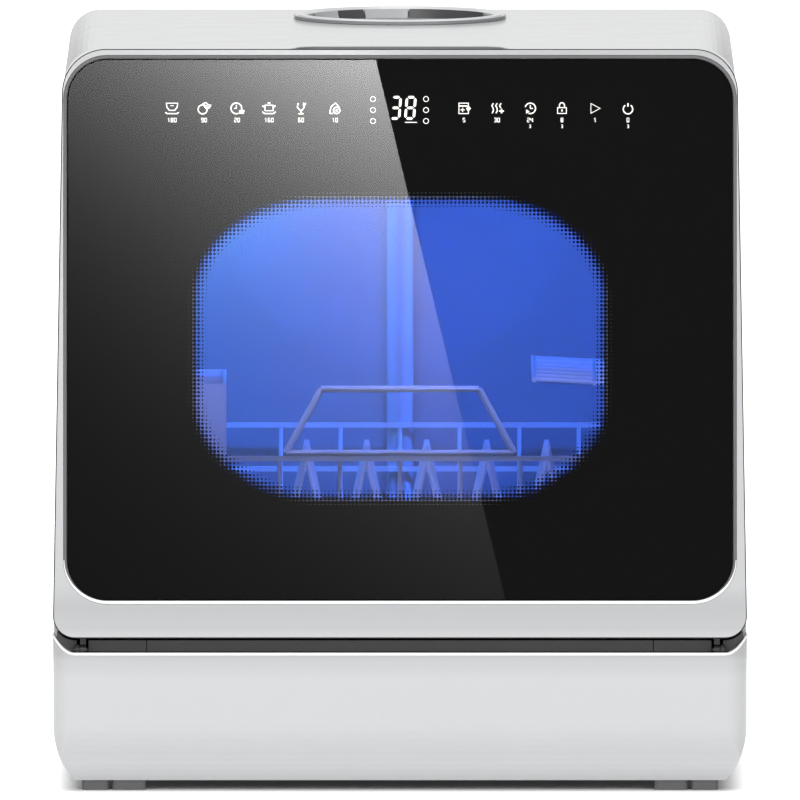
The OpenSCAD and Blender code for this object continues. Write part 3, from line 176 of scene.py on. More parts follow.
# ---------------------------------------------------------------- materials
class Graph:
    """The nodes of a material or a world."""

    def __init__(self, owner, empty=True):
        owner.use_nodes = True
        self.nodes, self.links = owner.node_tree.nodes, owner.node_tree.links
        if empty:
            self.nodes.clear()

    def add(self, kind, values=None, **settings):
        """A new node, with its settings and then the values of its sockets."""
        node = self.nodes.new(f"ShaderNode{kind}")
        for key, value in settings.items():
            setattr(node, key, value)
        for socket, value in (values or {}).items():
            node.inputs[socket].default_value = value
        return node

    def join(self, output, socket):
        self.links.new(output, socket)


class Shader(Graph):
    """A Principled material with optional fine bump, tint variation and roughness variation."""

    def __init__(self, name, color, rough, metal=0.0):
        self.mat = bpy.data.materials.new(name)
        super().__init__(self.mat, empty=False)
        self.bsdf = self.nodes["Principled BSDF"]
        self.set("Base Color", (*color, 1.0))
        self.set("Roughness", rough)
        self.set("Metallic", metal)
        self.coord = self.add("TexCoord")

    def set(self, socket, value):
        self.bsdf.inputs[socket].default_value = value
        return self

    def noise(self, scale, detail, stretch=(1, 1, 1)):
        mapping = self.add("Mapping", {"Scale": stretch})
        tex = self.add("TexNoise", {"Scale": scale, "Detail": detail})
        self.join(self.coord.outputs["Object"], mapping.inputs["Vector"])
        self.join(mapping.outputs["Vector"], tex.inputs["Vector"])
        return tex.outputs["Fac"]

    def vary_rough(self, low, high, scale, stretch=(1, 1, 1)):
        spread = self.add("MapRange", {"To Min": low, "To Max": high})
        self.join(self.noise(scale, 4.0, stretch), spread.inputs["Value"])
        self.join(spread.outputs["Result"], self.bsdf.inputs["Roughness"])
        return self

    def vary_color(self, one, two, scale):
        mix = self.add("Mix", {"A": (*one, 1.0), "B": (*two, 1.0)}, data_type="RGBA")
        self.join(self.noise(scale, 4.0), mix.inputs["Factor"])
        self.join(mix.outputs["Result"], self.bsdf.inputs["Base Color"])
        return self

    def paint_shade_by_height(self, rows):
        """Paints shade into the colour by height; rows holds (height in mm, share of the colour kept as painted
        shade).
        """
        low, high = rows[0][0], rows[-1][0]
        parts = self.add("SeparateXYZ")
        place = self.add("MapRange", {"From Min": low * MM, "From Max": high * MM})
        ramp = self.add("ValToRGB")
        ramp.color_ramp.interpolation = "EASE"
        marks = ramp.color_ramp.elements
        while len(marks) < len(rows):
            marks.new(0.5)
        for mark, (height, share) in zip(marks, rows):
            mark.position = (height - low) / (high - low)
            mark.color = (share, share, share, 1.0)
        mix = self.add("Mix", {"Factor": 1.0}, data_type="RGBA", blend_type="MULTIPLY")
        tint = self.bsdf.inputs["Base Color"].links[0].from_socket
        self.join(self.coord.outputs["Object"], parts.inputs["Vector"])
        self.join(parts.outputs["Z"], place.inputs["Value"])
        self.join(place.outputs["Result"], ramp.inputs["Fac"])
        self.join(tint, mix.inputs["A"])
        self.join(ramp.outputs["Color"], mix.inputs["B"])
        self.join(mix.outputs["Result"], self.bsdf.inputs["Base Color"])
        return self

    def bump(self, strength, distance, scale, stretch=(1, 1, 1)):
        node = self.add("Bump", {"Strength": strength, "Distance": distance})
        self.join(self.noise(scale, 2.0, stretch), node.inputs["Height"])
        self.join(node.outputs["Normal"], self.bsdf.inputs["Normal"])
        return self


def gloss_white(name, color, rows=None):
    sh = Shader(name, color, 0.2)
    sh.vary_color(color, tuple(c * 0.985 for c in color), 9.0)
    # Painted shade: rows darken the colour by height
    if rows:
        sh.paint_shade_by_height(rows)
    sh.vary_rough(0.17, 0.24, 40.0)
    sh.bump(0.04, 0.0002, 600.0)
    return sh.set("Coat Weight", 0.35).set("Coat Roughness", 0.06).mat


def moulded(name, color, rough=0.5, grain=0.12):
    sh = Shader(name, color, rough)
    sh.vary_color(color, tuple(c * 0.94 for c in color), 30.0)
    sh.vary_rough(rough - 0.06, rough + 0.06, 90.0)
    return sh.bump(grain, 0.0002, 1800.0).mat


def steel_sheet(name, color):
    brushed = (1, 1, 40)
    sh = Shader(name, color, 0.32, 1.0)
    sh.vary_rough(0.24, 0.4, 25.0, brushed)
    return sh.bump(0.08, 0.0001, 220.0, brushed).mat


def glowing(name, color, strength):
    sh = Shader(name, color, 0.4)
    sh.bump(0.05, 0.0001, 900.0)
    return sh.set("Emission Color", (*color, 1.0)).set("Emission Strength", strength).mat


def clear_glass(name, tint, ior):
    sh = Shader(name, tint, 0.0)
    return sh.set("Transmission Weight", 1.0).set("IOR", ior).mat


def ceramic_print(name, color):
    sh = Shader(name, color, 0.8)
    sh.vary_color(color, tuple(c * 0.8 for c in color), 40.0)
    return sh.set("Specular IOR Level", 0.0).mat


SHELL_WHITE = (0.83, 0.84, 0.85)
# Painted shade: the base darkens towards its upper rim, and the door's front darkens near its lower edge and its
# top, painted into the colour by height
BASE_PAINTED_SHADE = [(6, 1.0), (14, 1.0), (24, 0.93), (42, 0.98), (66, 0.98), (77, 0.89), (83, 0.76)]
CHIN_PAINTED_SHADE = [(88, 0.98), (92, 0.95), (98, 0.84), (110, 0.8), (125, 0.92), (420, 0.92), (436, 0.8)]

MATS = {
    "shell": gloss_white("shell_gloss", SHELL_WHITE),
    "base": gloss_white("base_gloss_painted_shade", SHELL_WHITE, BASE_PAINTED_SHADE),
    "chin": gloss_white("chin_gloss_painted_shade", SHELL_WHITE, CHIN_PAINTED_SHADE),
    "tub": moulded("tub_plastic", (0.3, 0.31, 0.33), 0.3, 0.03),
    "grey_plastic": moulded("grey_moulding", (0.42, 0.43, 0.45)),
    "white_plastic": moulded("white_moulding", (0.72, 0.73, 0.74), 0.4),
    "dark_plastic": moulded("dark_moulding", (0.022, 0.022, 0.025), 0.45),
    "foot_rubber": moulded("foot_rubber", (0.16, 0.16, 0.165), 0.75, 0.25),
    "seal": moulded("seal_rubber", (0.02, 0.02, 0.022), 0.7, 0.2),
    "steel": steel_sheet("steel", (0.6, 0.61, 0.63)),
    "trim": moulded("trim_satin", (0.2, 0.2, 0.205), 0.3, 0.03),
    "dark_steel": steel_sheet("dark_steel", (0.06, 0.06, 0.065)),
    "door_glass": clear_glass("door_glass", (0.42, 0.45, 0.52), 1.48),
    "pane": clear_glass("inner_pane", (0.93, 0.95, 0.98), 1.06),
    "pcb": moulded("circuit_board", (0.02, 0.13, 0.07), 0.45),
    "tank": moulded("tank_plastic", (0.68, 0.74, 0.79), 0.35, 0.05),
    "wire": moulded("coated_wire", (0.85, 0.87, 0.9), 0.3, 0.03),
    "lamp": glowing("lamp_lens", (0.16, 0.3, 1.0), 9.0),
    "frit": ceramic_print("black_frit", (0.005, 0.005, 0.0055)),
    "print": glowing("white_print", (1.0, 0.93, 0.81), 2.1),
    # Painted shade: matte black for the seam round the door
    "painted_seam_shade": ceramic_print("painted_seam_shade_black", (0.035, 0.035, 0.037)),
    # Port tones: the strainer's own pale grey, also painted light on facets; the funnel's own grey, also painted
    # shade on the collar band and the recess; and a painted shade on facets
    "port_pale_and_painted_light": moulded("port_pale_and_painted_light", (0.62, 0.63, 0.64), 0.25, 0.03),
    "port_grey_and_painted_shade": moulded("port_grey_and_painted_shade", (0.3, 0.31, 0.32), 0.25, 0.03),
    "port_painted_shade": moulded("port_painted_shade", (0.1, 0.1, 0.105), 0.3, 0.03),
    # Painted highlight: a white that glows faintly, for the light lines on the bezel and on the rim of the base
    "painted_highlight": glowing("painted_highlight", (0.97, 0.97, 0.97), 0.35),
    "sill": moulded("sill_grey", (0.12, 0.12, 0.125), 0.5, 0.05),
}
FINISH_OF = {"fill_funnel": "port_grey_and_painted_shade", "fill_strainer": "port_pale_and_painted_light", "hinge_arms": "dark_steel",
             "hinge_pins": "dark_steel"}

SLOT_OF = {s["node"]: s["material_slot"] for s in frame["record"]["subparts"]}
SMOOTH_BELOW = math.radians(24)


def dress_nodes():
    """Gives each CAD node its material and smooths its curved faces."""
    for name, obj in NODES.items():
        obj.data.materials.clear()
        obj.data.materials.append(MATS[FINISH_OF.get(name, SLOT_OF[name])])
        for face in obj.data.polygons:
            face.use_smooth = False
        bpy.context.view_layer.objects.active = obj
        obj.select_set(True)
        with bpy.context.temp_override(object=obj, selected_editable_objects=[obj]):
            bpy.ops.object.shade_smooth_by_angle(angle=SMOOTH_BELOW)
        obj.select_set(False)


def soften(obj, width):
    """Rounds the sharp edges of a node with modifiers, its mesh left as it is."""
    weld = obj.modifiers.new("weld", "WELD")
    weld.merge_threshold = 0.000005
    add_bevel(obj, width, 60)


# ---------------------------------------------------------------- black print behind the glass
DOT_PITCH = 2.345
DOT_AT_EDGE = 0.98
DOT_FADE = 0.26
SMALLEST_DOT = 0.12
SOLID_ROWS = 1.55
RIM_ROWS = 4
FIELD_LAP = 0.3
FRIT_THICK = 0.04


def outside_window(x, v):
    """Distance outside the window's rounded outline, in millimetres; negative inside it."""
    wide, tall = WINDOW_CORNER
    from_mid = abs(v - (WINDOW_LOW + WINDOW_HIGH) / 2)
    half_h = (WINDOW_HIGH - WINDOW_LOW) / 2
    qx, qv = abs(x) - (WINDOW_HALF_W - wide), from_mid - (half_h - tall)
    if qx <= 0 or qv <= 0:
        return max(abs(x) - WINDOW_HALF_W, from_mid - half_h)
    share = math.hypot(qx / wide, qv / tall)
    return share * (share - 1) / math.hypot(qx / wide ** 2, qv / tall ** 2)


def make_frit():
    """The black ceramic print: a plain field, small holes near the window, dots inside it."""
    verts, faces = [], []

    def add(points):
        start = len(verts)
        verts.extend(door_point(x, FRIT_W, v) for x, v in points)
        faces.append(tuple(range(start, len(verts))))

    half = DOT_PITCH / 2
    mid_v = (WINDOW_LOW + WINDOW_HIGH) / 2
    reach_x = int((WINDOW_HALF_W + RIM_ROWS * DOT_PITCH) / DOT_PITCH)
    reach_v = int(((WINDOW_HIGH - WINDOW_LOW) / 2 + RIM_ROWS * DOT_PITCH) / DOT_PITCH)
    for i in range(-reach_x, reach_x + 1):
        for j in range(-reach_v, reach_v + 1):
            cx, cv = i * DOT_PITCH, mid_v + j * DOT_PITCH
            out = outside_window(cx, cv) / DOT_PITCH
            size = DOT_AT_EDGE + DOT_FADE * out
            r = half * size
            if out >= SOLID_ROWS:
                add([(cx - half, cv - half), (cx + half, cv - half),
                     (cx + half, cv + half), (cx - half, cv + half)])
            elif size > 1:
                # A dot wider than its cell: a square with its corners rounded away
                cut = math.sqrt(r * r - half * half)
                tip = r * math.sqrt(0.5)
                points = []
                for sx, sv in ((1, -1), (1, 1), (-1, 1), (-1, -1)):
                    pair = [(sx * half, sv * cut), (sx * tip, sv * tip), (sx * cut, sv * half)]
                    points += pair[::-1] if sx * sv < 0 else pair
                add([(cx + px, cv + pv) for px, pv in points])
            elif size > SMALLEST_DOT:
                add([(cx + r * math.cos(math.pi * k / 5), cv + r * math.sin(math.pi * k / 5))
                     for k in range(10)])
    obj = mesh_object("frit_dots", verts, faces, MATS["frit"])
    link(give_sheet(obj, FRIT_THICK), "door")

    # The field outside the dots, as one ring from the glass edge to the grid
    hole_x = reach_x * DOT_PITCH + half - FIELD_LAP
    hole_v = reach_v * DOT_PITCH + half - FIELD_LAP
    outer = glass_edge(0.4, 23.6)
    inner = rounded(hole_x, mid_v - hole_v, mid_v + hole_v, 1.0)
    n = len(outer)
    ring_v = [door_point(x, RING_W, v) for x, v in outer] + \
             [door_point(x, RING_W, v) for x, v in inner]
    ring_f = [(k, (k + 1) % n, n + (k + 1) % n, n + k) for k in range(n)]
    ring = mesh_object("frit_field", ring_v, ring_f, MATS["frit"])
    link(give_sheet(ring, FRIT_THICK), "door")


# ---------------------------------------------------------------- white print on the control strip
ICON_V = 321.7
LINE = 0.72
PRINT_THICK = 0.06


class Print:
    """Collects flat shapes in the plane of the door and builds them as one thin sheet."""

    def __init__(self, x=0.0, v=0.0):
        self.x, self.v = x, v
        self.shapes = []

    def at(self, points):
        return [(self.x + px, self.v + pv) for px, pv in points]

    def fill(self, points):
        self.shapes.append(self.at(points))

    def line(self, points, width=LINE, closed=False):
        pts = [Vector(p) for p in self.at(points)]
        n = len(pts)
        left, right = [], []
        for i, p in enumerate(pts):
            before = pts[i - 1] if (i or closed) else p
            after = pts[(i + 1) % n] if (i < n - 1 or closed) else p
            along = ((p - before).normalized() + (after - p).normalized())
            along = along.normalized() if along.length > 1e-6 else (after - p).normalized()
            side = Vector((-along.y, along.x)) * width / 2
            left.append(tuple(p + side))
            right.append(tuple(p - side))
        for i in range(n if closed else n - 1):
            j = (i + 1) % n
            self.shapes.append([right[i], right[j], left[j], left[i]])

    def arc(self, cx, cv, r, a0=0, a1=360, width=LINE):
        steps = max(6, int(abs(a1 - a0) / 15))
        full = abs(a1 - a0) >= 360
        count = steps if full else steps + 1
        turn = [math.radians(a0 + (a1 - a0) * i / steps) for i in range(count)]
        points = [(cx + r * math.cos(a), cv + r * math.sin(a)) for a in turn]
        self.line(points, width, full)

    def dot(self, cx, cv, r):
        turn = [2 * math.pi * i / 12 for i in range(12)]
        self.fill([(cx + r * math.cos(a), cv + r * math.sin(a)) for a in turn])

    def build(self, name):
        verts, faces = [], []
        for shape in self.shapes:
            start = len(verts)
            verts.extend(door_point(x, PRINT_W, v) for x, v in shape)
            faces.append(tuple(range(start, len(verts))))
        obj = mesh_object(name, verts, faces, MATS["print"])
        bm = bmesh.new()
        bm.from_mesh(obj.data)
        bmesh.ops.remove_doubles(bm, verts=bm.verts, dist=1e-6)
        bmesh.ops.recalc_face_normals(bm, faces=bm.faces)
        bm.to_mesh(obj.data)
        bm.free()
        link(give_sheet(obj, PRINT_THICK), "door")


def cup(p):
    p.line([(-3.4, 3.1), (-3.0, 0.6), (-1.6, -1.2), (1.6, -1.2), (3.0, 0.6), (3.4, 3.1)],
           closed=True)
    p.line([(-4.0, -2.3), (-3.0, -3.1), (3.0, -3.1), (4.0, -2.3)])
    p.line([(-1.0, 1.6), (1.0, 1.6)], 0.4)


def leaf(p):
    p.arc(-0.8, -0.6, 2.7)
    p.line([(-0.6, 2.9), (1.2, 3.4), (2.2, 2.2), (4.1, 1.9), (3.2, 0.3), (1.2, 0.0), (0.2, 1.2)],
           closed=True)
    p.line([(0.6, 1.9), (3.0, 1.1)], 0.4)


def clock(p):
    p.arc(-0.4, 0, 3.2, -20, 290)
    p.line([(-0.4, 2.0), (-0.4, 0), (-1.8, 0)])
    p.fill([(1.0, -3.2), (3.9, -3.2), (4.5, -1.0), (1.4, -1.0)])


def pot(p):
    p.line([(-2.4, 1.9), (-2.4, -1.4), (2.4, -1.4), (2.4, 1.9)], closed=True)
    p.line([(-0.9, 3.2), (0.9, 3.2)])
    p.line([(-3.9, 1.6), (-2.6, 0.6)])
    p.line([(3.9, 1.6), (2.6, 0.6)])
    p.line([(-4.0, -2.0), (-2.6, -3.1), (2.6, -3.1), (4.0, -2.0)])


def goblet(p):
    p.line([(-1.7, 3.2), (-2.2, 0.6), (-0.4, -1.2), (0.4, -1.2), (2.0, 0.6), (1.4, 2.0)])
    p.line([(0, -1.2), (0, -3.0)])
    p.line([(-1.5, -3.2), (1.5, -3.2)])
    p.line([(1.1, 3.3), (2.9, 1.9)], 0.5)
    p.line([(2.9, 3.3), (1.1, 1.9)], 0.5)


def fruit(p):
    p.line([(-3.2, -2.9), (-2.3, 1.0), (0.2, 3.2), (2.0, 1.4), (2.4, -0.4)])
    p.arc(1.0, -1.2, 1.9)
    p.dot(1.0, -1.2, 0.8)
    p.line([(-3.2, -2.9), (-1.2, -3.1)])


def shine(p):
    p.line([(-3.0, 3.1), (-3.0, -3.1), (2.6, -3.1), (2.6, 3.1)], closed=True)
    p.line([(-2.8, 1.4), (2.4, 1.4)])
    p.line([(-0.8, 0.4), (-0.8, -2.2)], 0.5)
    p.line([(-2.1, -0.9), (0.5, -0.9)], 0.5)
    p.fill([(2.6, 1.6), (4.2, -0.1), (2.6, -1.8), (1.2, -0.1)])


def steam(p):
    for dx in (-2.6, -0.3, 2.0):
        end = -2.9 if dx < 1 else 0.2
        p.line([(dx + 0.5, 3.0), (dx - 0.5, 1.6), (dx + 0.3, 0.2)]
               + ([(dx + 0.5, -1.4), (dx - 0.3, end)] if dx < 1 else []))
    p.line([(1.3, -1.6), (4.1, -1.6)], 0.8)
    p.line([(2.7, -0.2), (2.7, -3.0)], 0.8)


def delay(p):
    p.arc(0.2, 0, 3.1, -110, 165)
    p.line([(0.2, 1.8), (0.2, 0), (1.7, 0)])
    p.fill([(-2.3, -3.2), (-0.2, -1.9), (-2.3, -0.6)])


def padlock(p):
    p.line([(-2.6, 0.4), (-2.6, -3.0), (2.6, -3.0), (2.6, 0.4)], closed=True)
    p.line([(-1.5, 0.6), (-1.5, 2.2), (-0.6, 3.3), (0.6, 3.3), (1.5, 2.2), (1.5, 0.6)])
    p.line([(0, -0.6), (0, -1.9)], 0.8)


def play(p):
    p.line([(-2.4, 2.9), (-2.4, -2.9), (3.0, 0)], closed=True)


def power(p):
    p.arc(0, -0.5, 2.8, 125, 415)
    p.line([(0, 3.1), (0, 1.0)], 0.8)


DIGIT_HALF_W, DIGIT_HALF_H = 2.5, 6.3
BAR_W, BAR_GAP, SLANT = 1.55, 0.45, 0.08
LIT_BARS = {3: "abgcd", 8: "abcdefg"}


def seven_segment(p, digit):
    """One digit of a plain seven-segment display."""
    w, h = DIGIT_HALF_W, DIGIT_HALF_H
    bars = {"a": ((-w, h), (w, h)), "b": ((w, h), (w, 0)), "c": ((w, 0), (w, -h)),
            "d": ((-w, -h), (w, -h)), "e": ((-w, 0), (-w, -h)), "f": ((-w, h), (-w, 0)),
            "g": ((-w, 0), (w, 0))}
    for key in LIT_BARS[digit]:
        start, end = (Vector(point) for point in bars[key])
        along = (end - start).normalized()
        a, b = start + along * BAR_GAP, end - along * BAR_GAP
        side = Vector((-along.y, along.x)) * BAR_W / 2
        tip = along * BAR_W / 2
        corners = [a, a + tip - side, b - tip - side, b, b - tip + side, a + tip + side]
        p.fill([(c.x + c.y * SLANT, c.y) for c in corners])


# Strokes of each numeral, in a cell one unit wide and two high
NUMERAL = {
    "0": [[(0, 0), (1, 0), (1, 2), (0, 2), (0, 0)]],
    "1": [[(0.1, 1.5), (0.6, 2), (0.6, 0)]],
    "2": [[(0, 2), (1, 2), (1, 1), (0, 1), (0, 0), (1, 0)]],
    "3": [[(0, 2), (1, 2), (1, 0), (0, 0)], [(0.2, 1), (1, 1)]],
    "4": [[(0, 2), (0, 1), (1, 1)], [(1, 2), (1, 0)]],
    "5": [[(1, 2), (0, 2), (0, 1), (1, 1), (1, 0), (0, 0)]],
    "6": [[(1, 2), (0, 2), (0, 0), (1, 0), (1, 1), (0, 1)]],
    "8": [[(0, 0), (1, 0), (1, 2), (0, 2), (0, 0)], [(0, 1), (1, 1)]],
    "9": [[(0, 0), (1, 0), (1, 2), (0, 2), (0, 1), (1, 1)]],
}
NUMERAL_STEP = 1.7


def numerals(p, text, cx, cv, high, width):
    """A plain number, centred on a point."""
    scale = high / 2
    left = cx - ((len(text) - 1) * NUMERAL_STEP + 1) * scale / 2
    for i, mark in enumerate(text):
        for run in NUMERAL[mark]:
            p.line([(left + (i * NUMERAL_STEP + px) * scale, cv + (pv - 1) * scale)
                    for px, pv in run], width)


# Column of the photograph, symbol, number below it and smaller number below that
TOUCH_ROW = [(172, cup, "180", ""), (204, leaf, "90", ""), (237, clock, "20", ""),
             (269, pot, "160", ""), (301, goblet, "60", ""), (335, fruit, "10", ""),
             (464, shine, "5", ""), (497, steam, "30", ""), (530, delay, "24", "3"),
             (562, padlock, "8", "3"), (595, play, "1", ""), (628, power, "0", "3")]


def make_prints():
    """The row of plain symbols, the two digits and the small marks beside and below them."""
    for px, draw, _, _ in TOUCH_ROW:
        p = Print(x_of(px), ICON_V)
        draw(p)
        p.build(f"symbol_{draw.__name__}")
    digits = Print(x_of(395.7), ICON_V + 0.3)
    seven_segment(digits, 3)
    second = Print(x_of(410.4), ICON_V + 0.3)
    seven_segment(second, 8)
    digits.shapes += second.shapes
    digits.build("display_digits")
    marks = Print()
    for px in (373, 426):
        for py in (99, 110, 121):
            marks.arc(x_of(px), v_of(py), 1.5, width=0.4)
    marks.line([(x_of(405), v_of(122.3)), (x_of(417), v_of(122.3))], 0.5)
    for px, _, label, small in TOUCH_ROW:
        numerals(marks, label, x_of(px), v_of(120), 2.3, 0.5)
        if small:
            numerals(marks, small, x_of(px), v_of(126.3), 1.7, 0.4)
    marks.build("display_marks")


# ---------------------------------------------------------------- fine pieces on the housing
def ring_plate(name, outer, inner, w0, w1, mat, round_edge=0.0):
    """A closed plate in the plane of the door, between two outlines with as many points."""
    n = len(outer)
    verts = []
    for w in (w0, w1):
        verts += [door_point(x, w, v) for x, v in outer]
        verts += [door_point(x, w, v) for x, v in inner]
    faces = []
    for k in range(n):
        j = (k + 1) % n
        faces.append((k, j, n + j, n + k))
        faces.append((2 * n + k, 3 * n + k, 3 * n + j, 2 * n + j))
        faces.append((k, 2 * n + k, 2 * n + j, j))
        faces.append((n + k, n + j, 3 * n + j, 3 * n + k))
    obj = mesh_object(name, verts, faces, mat)
    if round_edge:
        add_bevel(obj, round_edge, 50).harden_normals = True
    link(obj, "door")


# Rows of the photograph where the door's painted seam shade and its white skin end at the top
SEAM_ROW, SKIN_ROW = 49.0, 49.9
SEAM_INSET, SKIN_INSET, SKIN_ROUND = 0.02, 0.62, 0.3
GLASS_GAP, HOLE_R = 0.12, 26.2


def make_door_skin():
    """The white front skin of the door, the painted shade in its seam, and the painted shadow line round the
    glass.
    """
    hole = glass_edge(-BEZEL_W - GLASS_GAP, HOLE_R)
    seam = door_edge(SEAM_INSET, v_of(SEAM_ROW, DOOR_FACE))
    skin = door_edge(SKIN_INSET, v_of(SKIN_ROW, SKIN_FRONT))
    # Painted shade: a dark sheet behind the skin, seen as a dark line in the seam round the door
    ring_plate("door_seam_painted_shade", seam, hole,
               DOOR_FACE - 0.1, DOOR_FACE - 0.02, MATS["painted_seam_shade"])
    ring_plate("door_skin", skin, hole,
               SKIN_FRONT, DOOR_FACE - 0.11, MATS["chin"], SKIN_ROUND)
    # Painted shadow: a black ring on the front of the glass edge, for the shade between bezel and glass
    ring_plate("glass_painted_shadow_line", glass_edge(0.02, GLASS_R), glass_edge(0.7, 23.3),
               GLASS_FRONT - 0.05, GLASS_FRONT - 0.01, MATS["frit"])


def box_piece(name, low, high, mat):
    """A plain block on the housing between two corners, in millimetres of the shared frame."""
    (x0, y0, z0), (x1, y1, z1) = low, high
    verts = [(x * MM, y * MM, z * MM) for z in (z0, z1) for y in (y0, y1) for x in (x0, x1)]
    faces = [(0, 2, 3, 1), (4, 5, 7, 6), (0, 1, 5, 4), (2, 6, 7, 3), (0, 4, 6, 2), (1, 3, 7, 5)]
    link(mesh_object(name, verts, faces, mat), "housing")


def make_bezel_painted_highlight():
    """A painted highlight: a glowing light line under the glass, which thins out round its corners."""
    low = [(x, v) for x, v in glass_edge(0.1 - BEZEL_W, BEZEL_R) if v < GLASS_LOW + BEZEL_R]
    path = [p for p in low if p[0] < 0] + [p for p in low if p[0] > 0]
    centre_x, centre_v = GLASS_HALF_W - GLASS_R, GLASS_LOW + GLASS_R
    verts = []
    for x, v in path:
        cx = max(min(x, centre_x), -centre_x)
        out = Vector((x - cx, v - centre_v)).normalized()
        deep = BEZEL_W * 0.8 * (1.0 - 0.75 * abs(out.x) ** 3)
        for w, inward in ((SKIN_FRONT - 0.1, 0.0), (SKIN_FRONT - 0.1, deep),
                          (SKIN_FRONT - 0.01, deep), (SKIN_FRONT - 0.01, 0.0)):
            verts.append(door_point(x - out.x * inward, w, v - out.y * inward))
    link(mesh_object("bezel_painted_highlight", verts, bar_faces(len(path)), MATS["painted_highlight"]), "door")


# The upper edge of the base: where its corners begin, their radius, and their rise
RIM_CORNER_X, RIM_R, RIM_Y, RIM_Z, RIM_RISE = 193.0, 13.0, -202.5, 83.0, 10.0


def make_rim_painted_highlight():
    """A painted highlight: a glowing light line along the rim of the base, up round its corners."""
    rim, verts = [], []
    for side in (-1, 1):
        turn = [(side * (RIM_CORNER_X + RIM_R * math.sin(t)),
                 RIM_Y + RIM_R * (1 - math.cos(t)), RIM_Z + RIM_RISE * math.sin(t) ** 2,
                 side * math.sin(t), -math.cos(t))
                for t in (math.radians(78 * i / 12) for i in range(13))]
        rim += turn[::-1] if side < 0 else turn
    for x, y, z, nx, ny in rim:
        for out, dz in ((0.06, -1.5), (0.06, -0.4), (-0.4, 0.06), (-0.7, -1.5)):
            verts.append(((x + nx * out) * MM, (y + ny * out) * MM, (z + dz) * MM))
    link(mesh_object("rim_painted_highlight", verts, bar_faces(len(rim)), MATS["painted_highlight"]), "housing")


SILL_HALF_W, SEAM_X, SEAM_HALF_W = 185.0, 150.45, 0.25
SILL_BEHIND, SILL_THICK = 5.0, 1.2
SILL_BELOW_RIM, SILL_BELOW_DOOR = 2.5, 1.6


def make_sill():
    """The grey sill seen in the gap under the door, with its two seams and its two ends."""
    rim_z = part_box("base_shell")[1].z / MM - RIM_RISE
    y = HINGE.y / MM + SILL_BEHIND
    low_z = rim_z - SILL_BELOW_RIM
    top = DOOR_LOW + HINGE.z / MM - SILL_BELOW_DOOR
    for name, x0, x1 in (("left", -SILL_HALF_W, -SEAM_X - SEAM_HALF_W),
                         ("middle", SEAM_HALF_W - SEAM_X, SEAM_X - SEAM_HALF_W),
                         ("right", SEAM_X + SEAM_HALF_W, SILL_HALF_W)):
        box_piece(f"sill_{name}", (x0, y, low_z), (x1, y + SILL_THICK, top),
                  MATS["sill"])
    for side, name in ((-1, "left"), (1, "right")):
        # From the hinge out to the horn, between the horn's curve and the door's corner
        xs = [192.0] + [RIM_CORNER_X + 1.8 * k for k in range(7)]
        low = [low_z + RIM_RISE * (max(x - RIM_CORNER_X, 0) / RIM_R) ** 2 for x in xs]
        high = [top + RIM_R - math.sqrt(RIM_R ** 2 - max(x - RIM_CORNER_X, 0) ** 2) for x in xs]
        verts = [(side * x * MM, yy * MM, z * MM) for yy in (y, y + SILL_THICK)
                 for x, z in list(zip(xs, low)) + list(zip(xs, high))[::-1]]
        n = 2 * len(xs)
        faces = [tuple(range(n))[::-1], tuple(range(n, 2 * n))]
        faces += [(k, (k + 1) % n, n + (k + 1) % n, n + k) for k in range(n)]
        if side > 0:
            faces = [face[::-1] for face in faces]
        link(mesh_object(f"sill_end_{name}", verts, faces, MATS["sill"]), "housing")


RECESS_HALF_W, RECESS_BACK, RECESS_R = 61.1, -146.8, 11.6
RECESS_LOW, RECESS_HIGH = 437.6, 439.7
RECESS_DEPTH, RECESS_FLARE = 23.0, 2.6
RECESS_WALL, RECESS_SHRINK = 0.35, 0.006


def make_recess_painted_shade_wall():
    """Painted shade: a grey wall along the back of the finger recess in the top."""
    half, back, radius = RECESS_HALF_W, RECESS_BACK, RECESS_R
    path = [(-half - RECESS_FLARE, back - RECESS_DEPTH)]
    for i in range(13):
        a = math.radians(180 - 90 * i / 12)
        path.append((-half + radius + radius * math.cos(a), back - radius + radius * math.sin(a)))
    path += [(-x, y) for x, y in reversed(path)]
    n = len(path)
    verts = []
    for z in (RECESS_LOW, RECESS_HIGH):
        verts += [(x * MM, y * MM, z * MM) for x, y in path]
        verts += [(x * (1 - RECESS_SHRINK) * MM, (y - RECESS_WALL) * MM, z * MM)
                  for x, y in path]
    faces = [(0, n, 3 * n, 2 * n), (n - 1, 3 * n - 1, 4 * n - 1, 2 * n - 1)]
    for k in range(n - 1):
        faces.append((k, k + 1, n + k + 1, n + k))
        faces.append((2 * n + k, 3 * n + k, 3 * n + k + 1, 2 * n + k + 1))
        faces.append((k, 2 * n + k, 2 * n + k + 1, k + 1))
        faces.append((n + k, n + k + 1, 3 * n + k + 1, 3 * n + k))
    link(mesh_object("recess_painted_shade_wall", verts, faces, MATS["port_grey_and_painted_shade"]), "housing")


def arc_wall(name, radius, thick, z0, z1, a0, a1, centre_y, mat, flare=0.0):
    """An upright curved wall round the fill port, between two angles in degrees."""
    steps = max(4, int(abs(a1 - a0) / 3))
    full = abs(a1 - a0) >= 360
    count = steps if full else steps + 1
    verts, faces = [], []
    for i in range(count):
        a = math.radians(a0 + (a1 - a0) * i / steps)
        for r, z in ((radius, z0), (radius + flare, z1), (radius + flare - thick, z1),
                     (radius - thick, z0)):
            verts.append((r * math.cos(a) * MM, (centre_y + r * math.sin(a)) * MM, z * MM))
    for i in range(count if full else count - 1):
        j = (i + 1) % count
        for k in range(4):
            m = (k + 1) % 4
            faces.append((4 * i + k, 4 * j + k, 4 * j + m, 4 * i + m))
    if not full:
        faces.append((3, 2, 1, 0))
        last = 4 * (count - 1)
        faces.append((last, last + 1, last + 2, last + 3))
    link(mesh_object(name, verts, faces, mat), "housing")


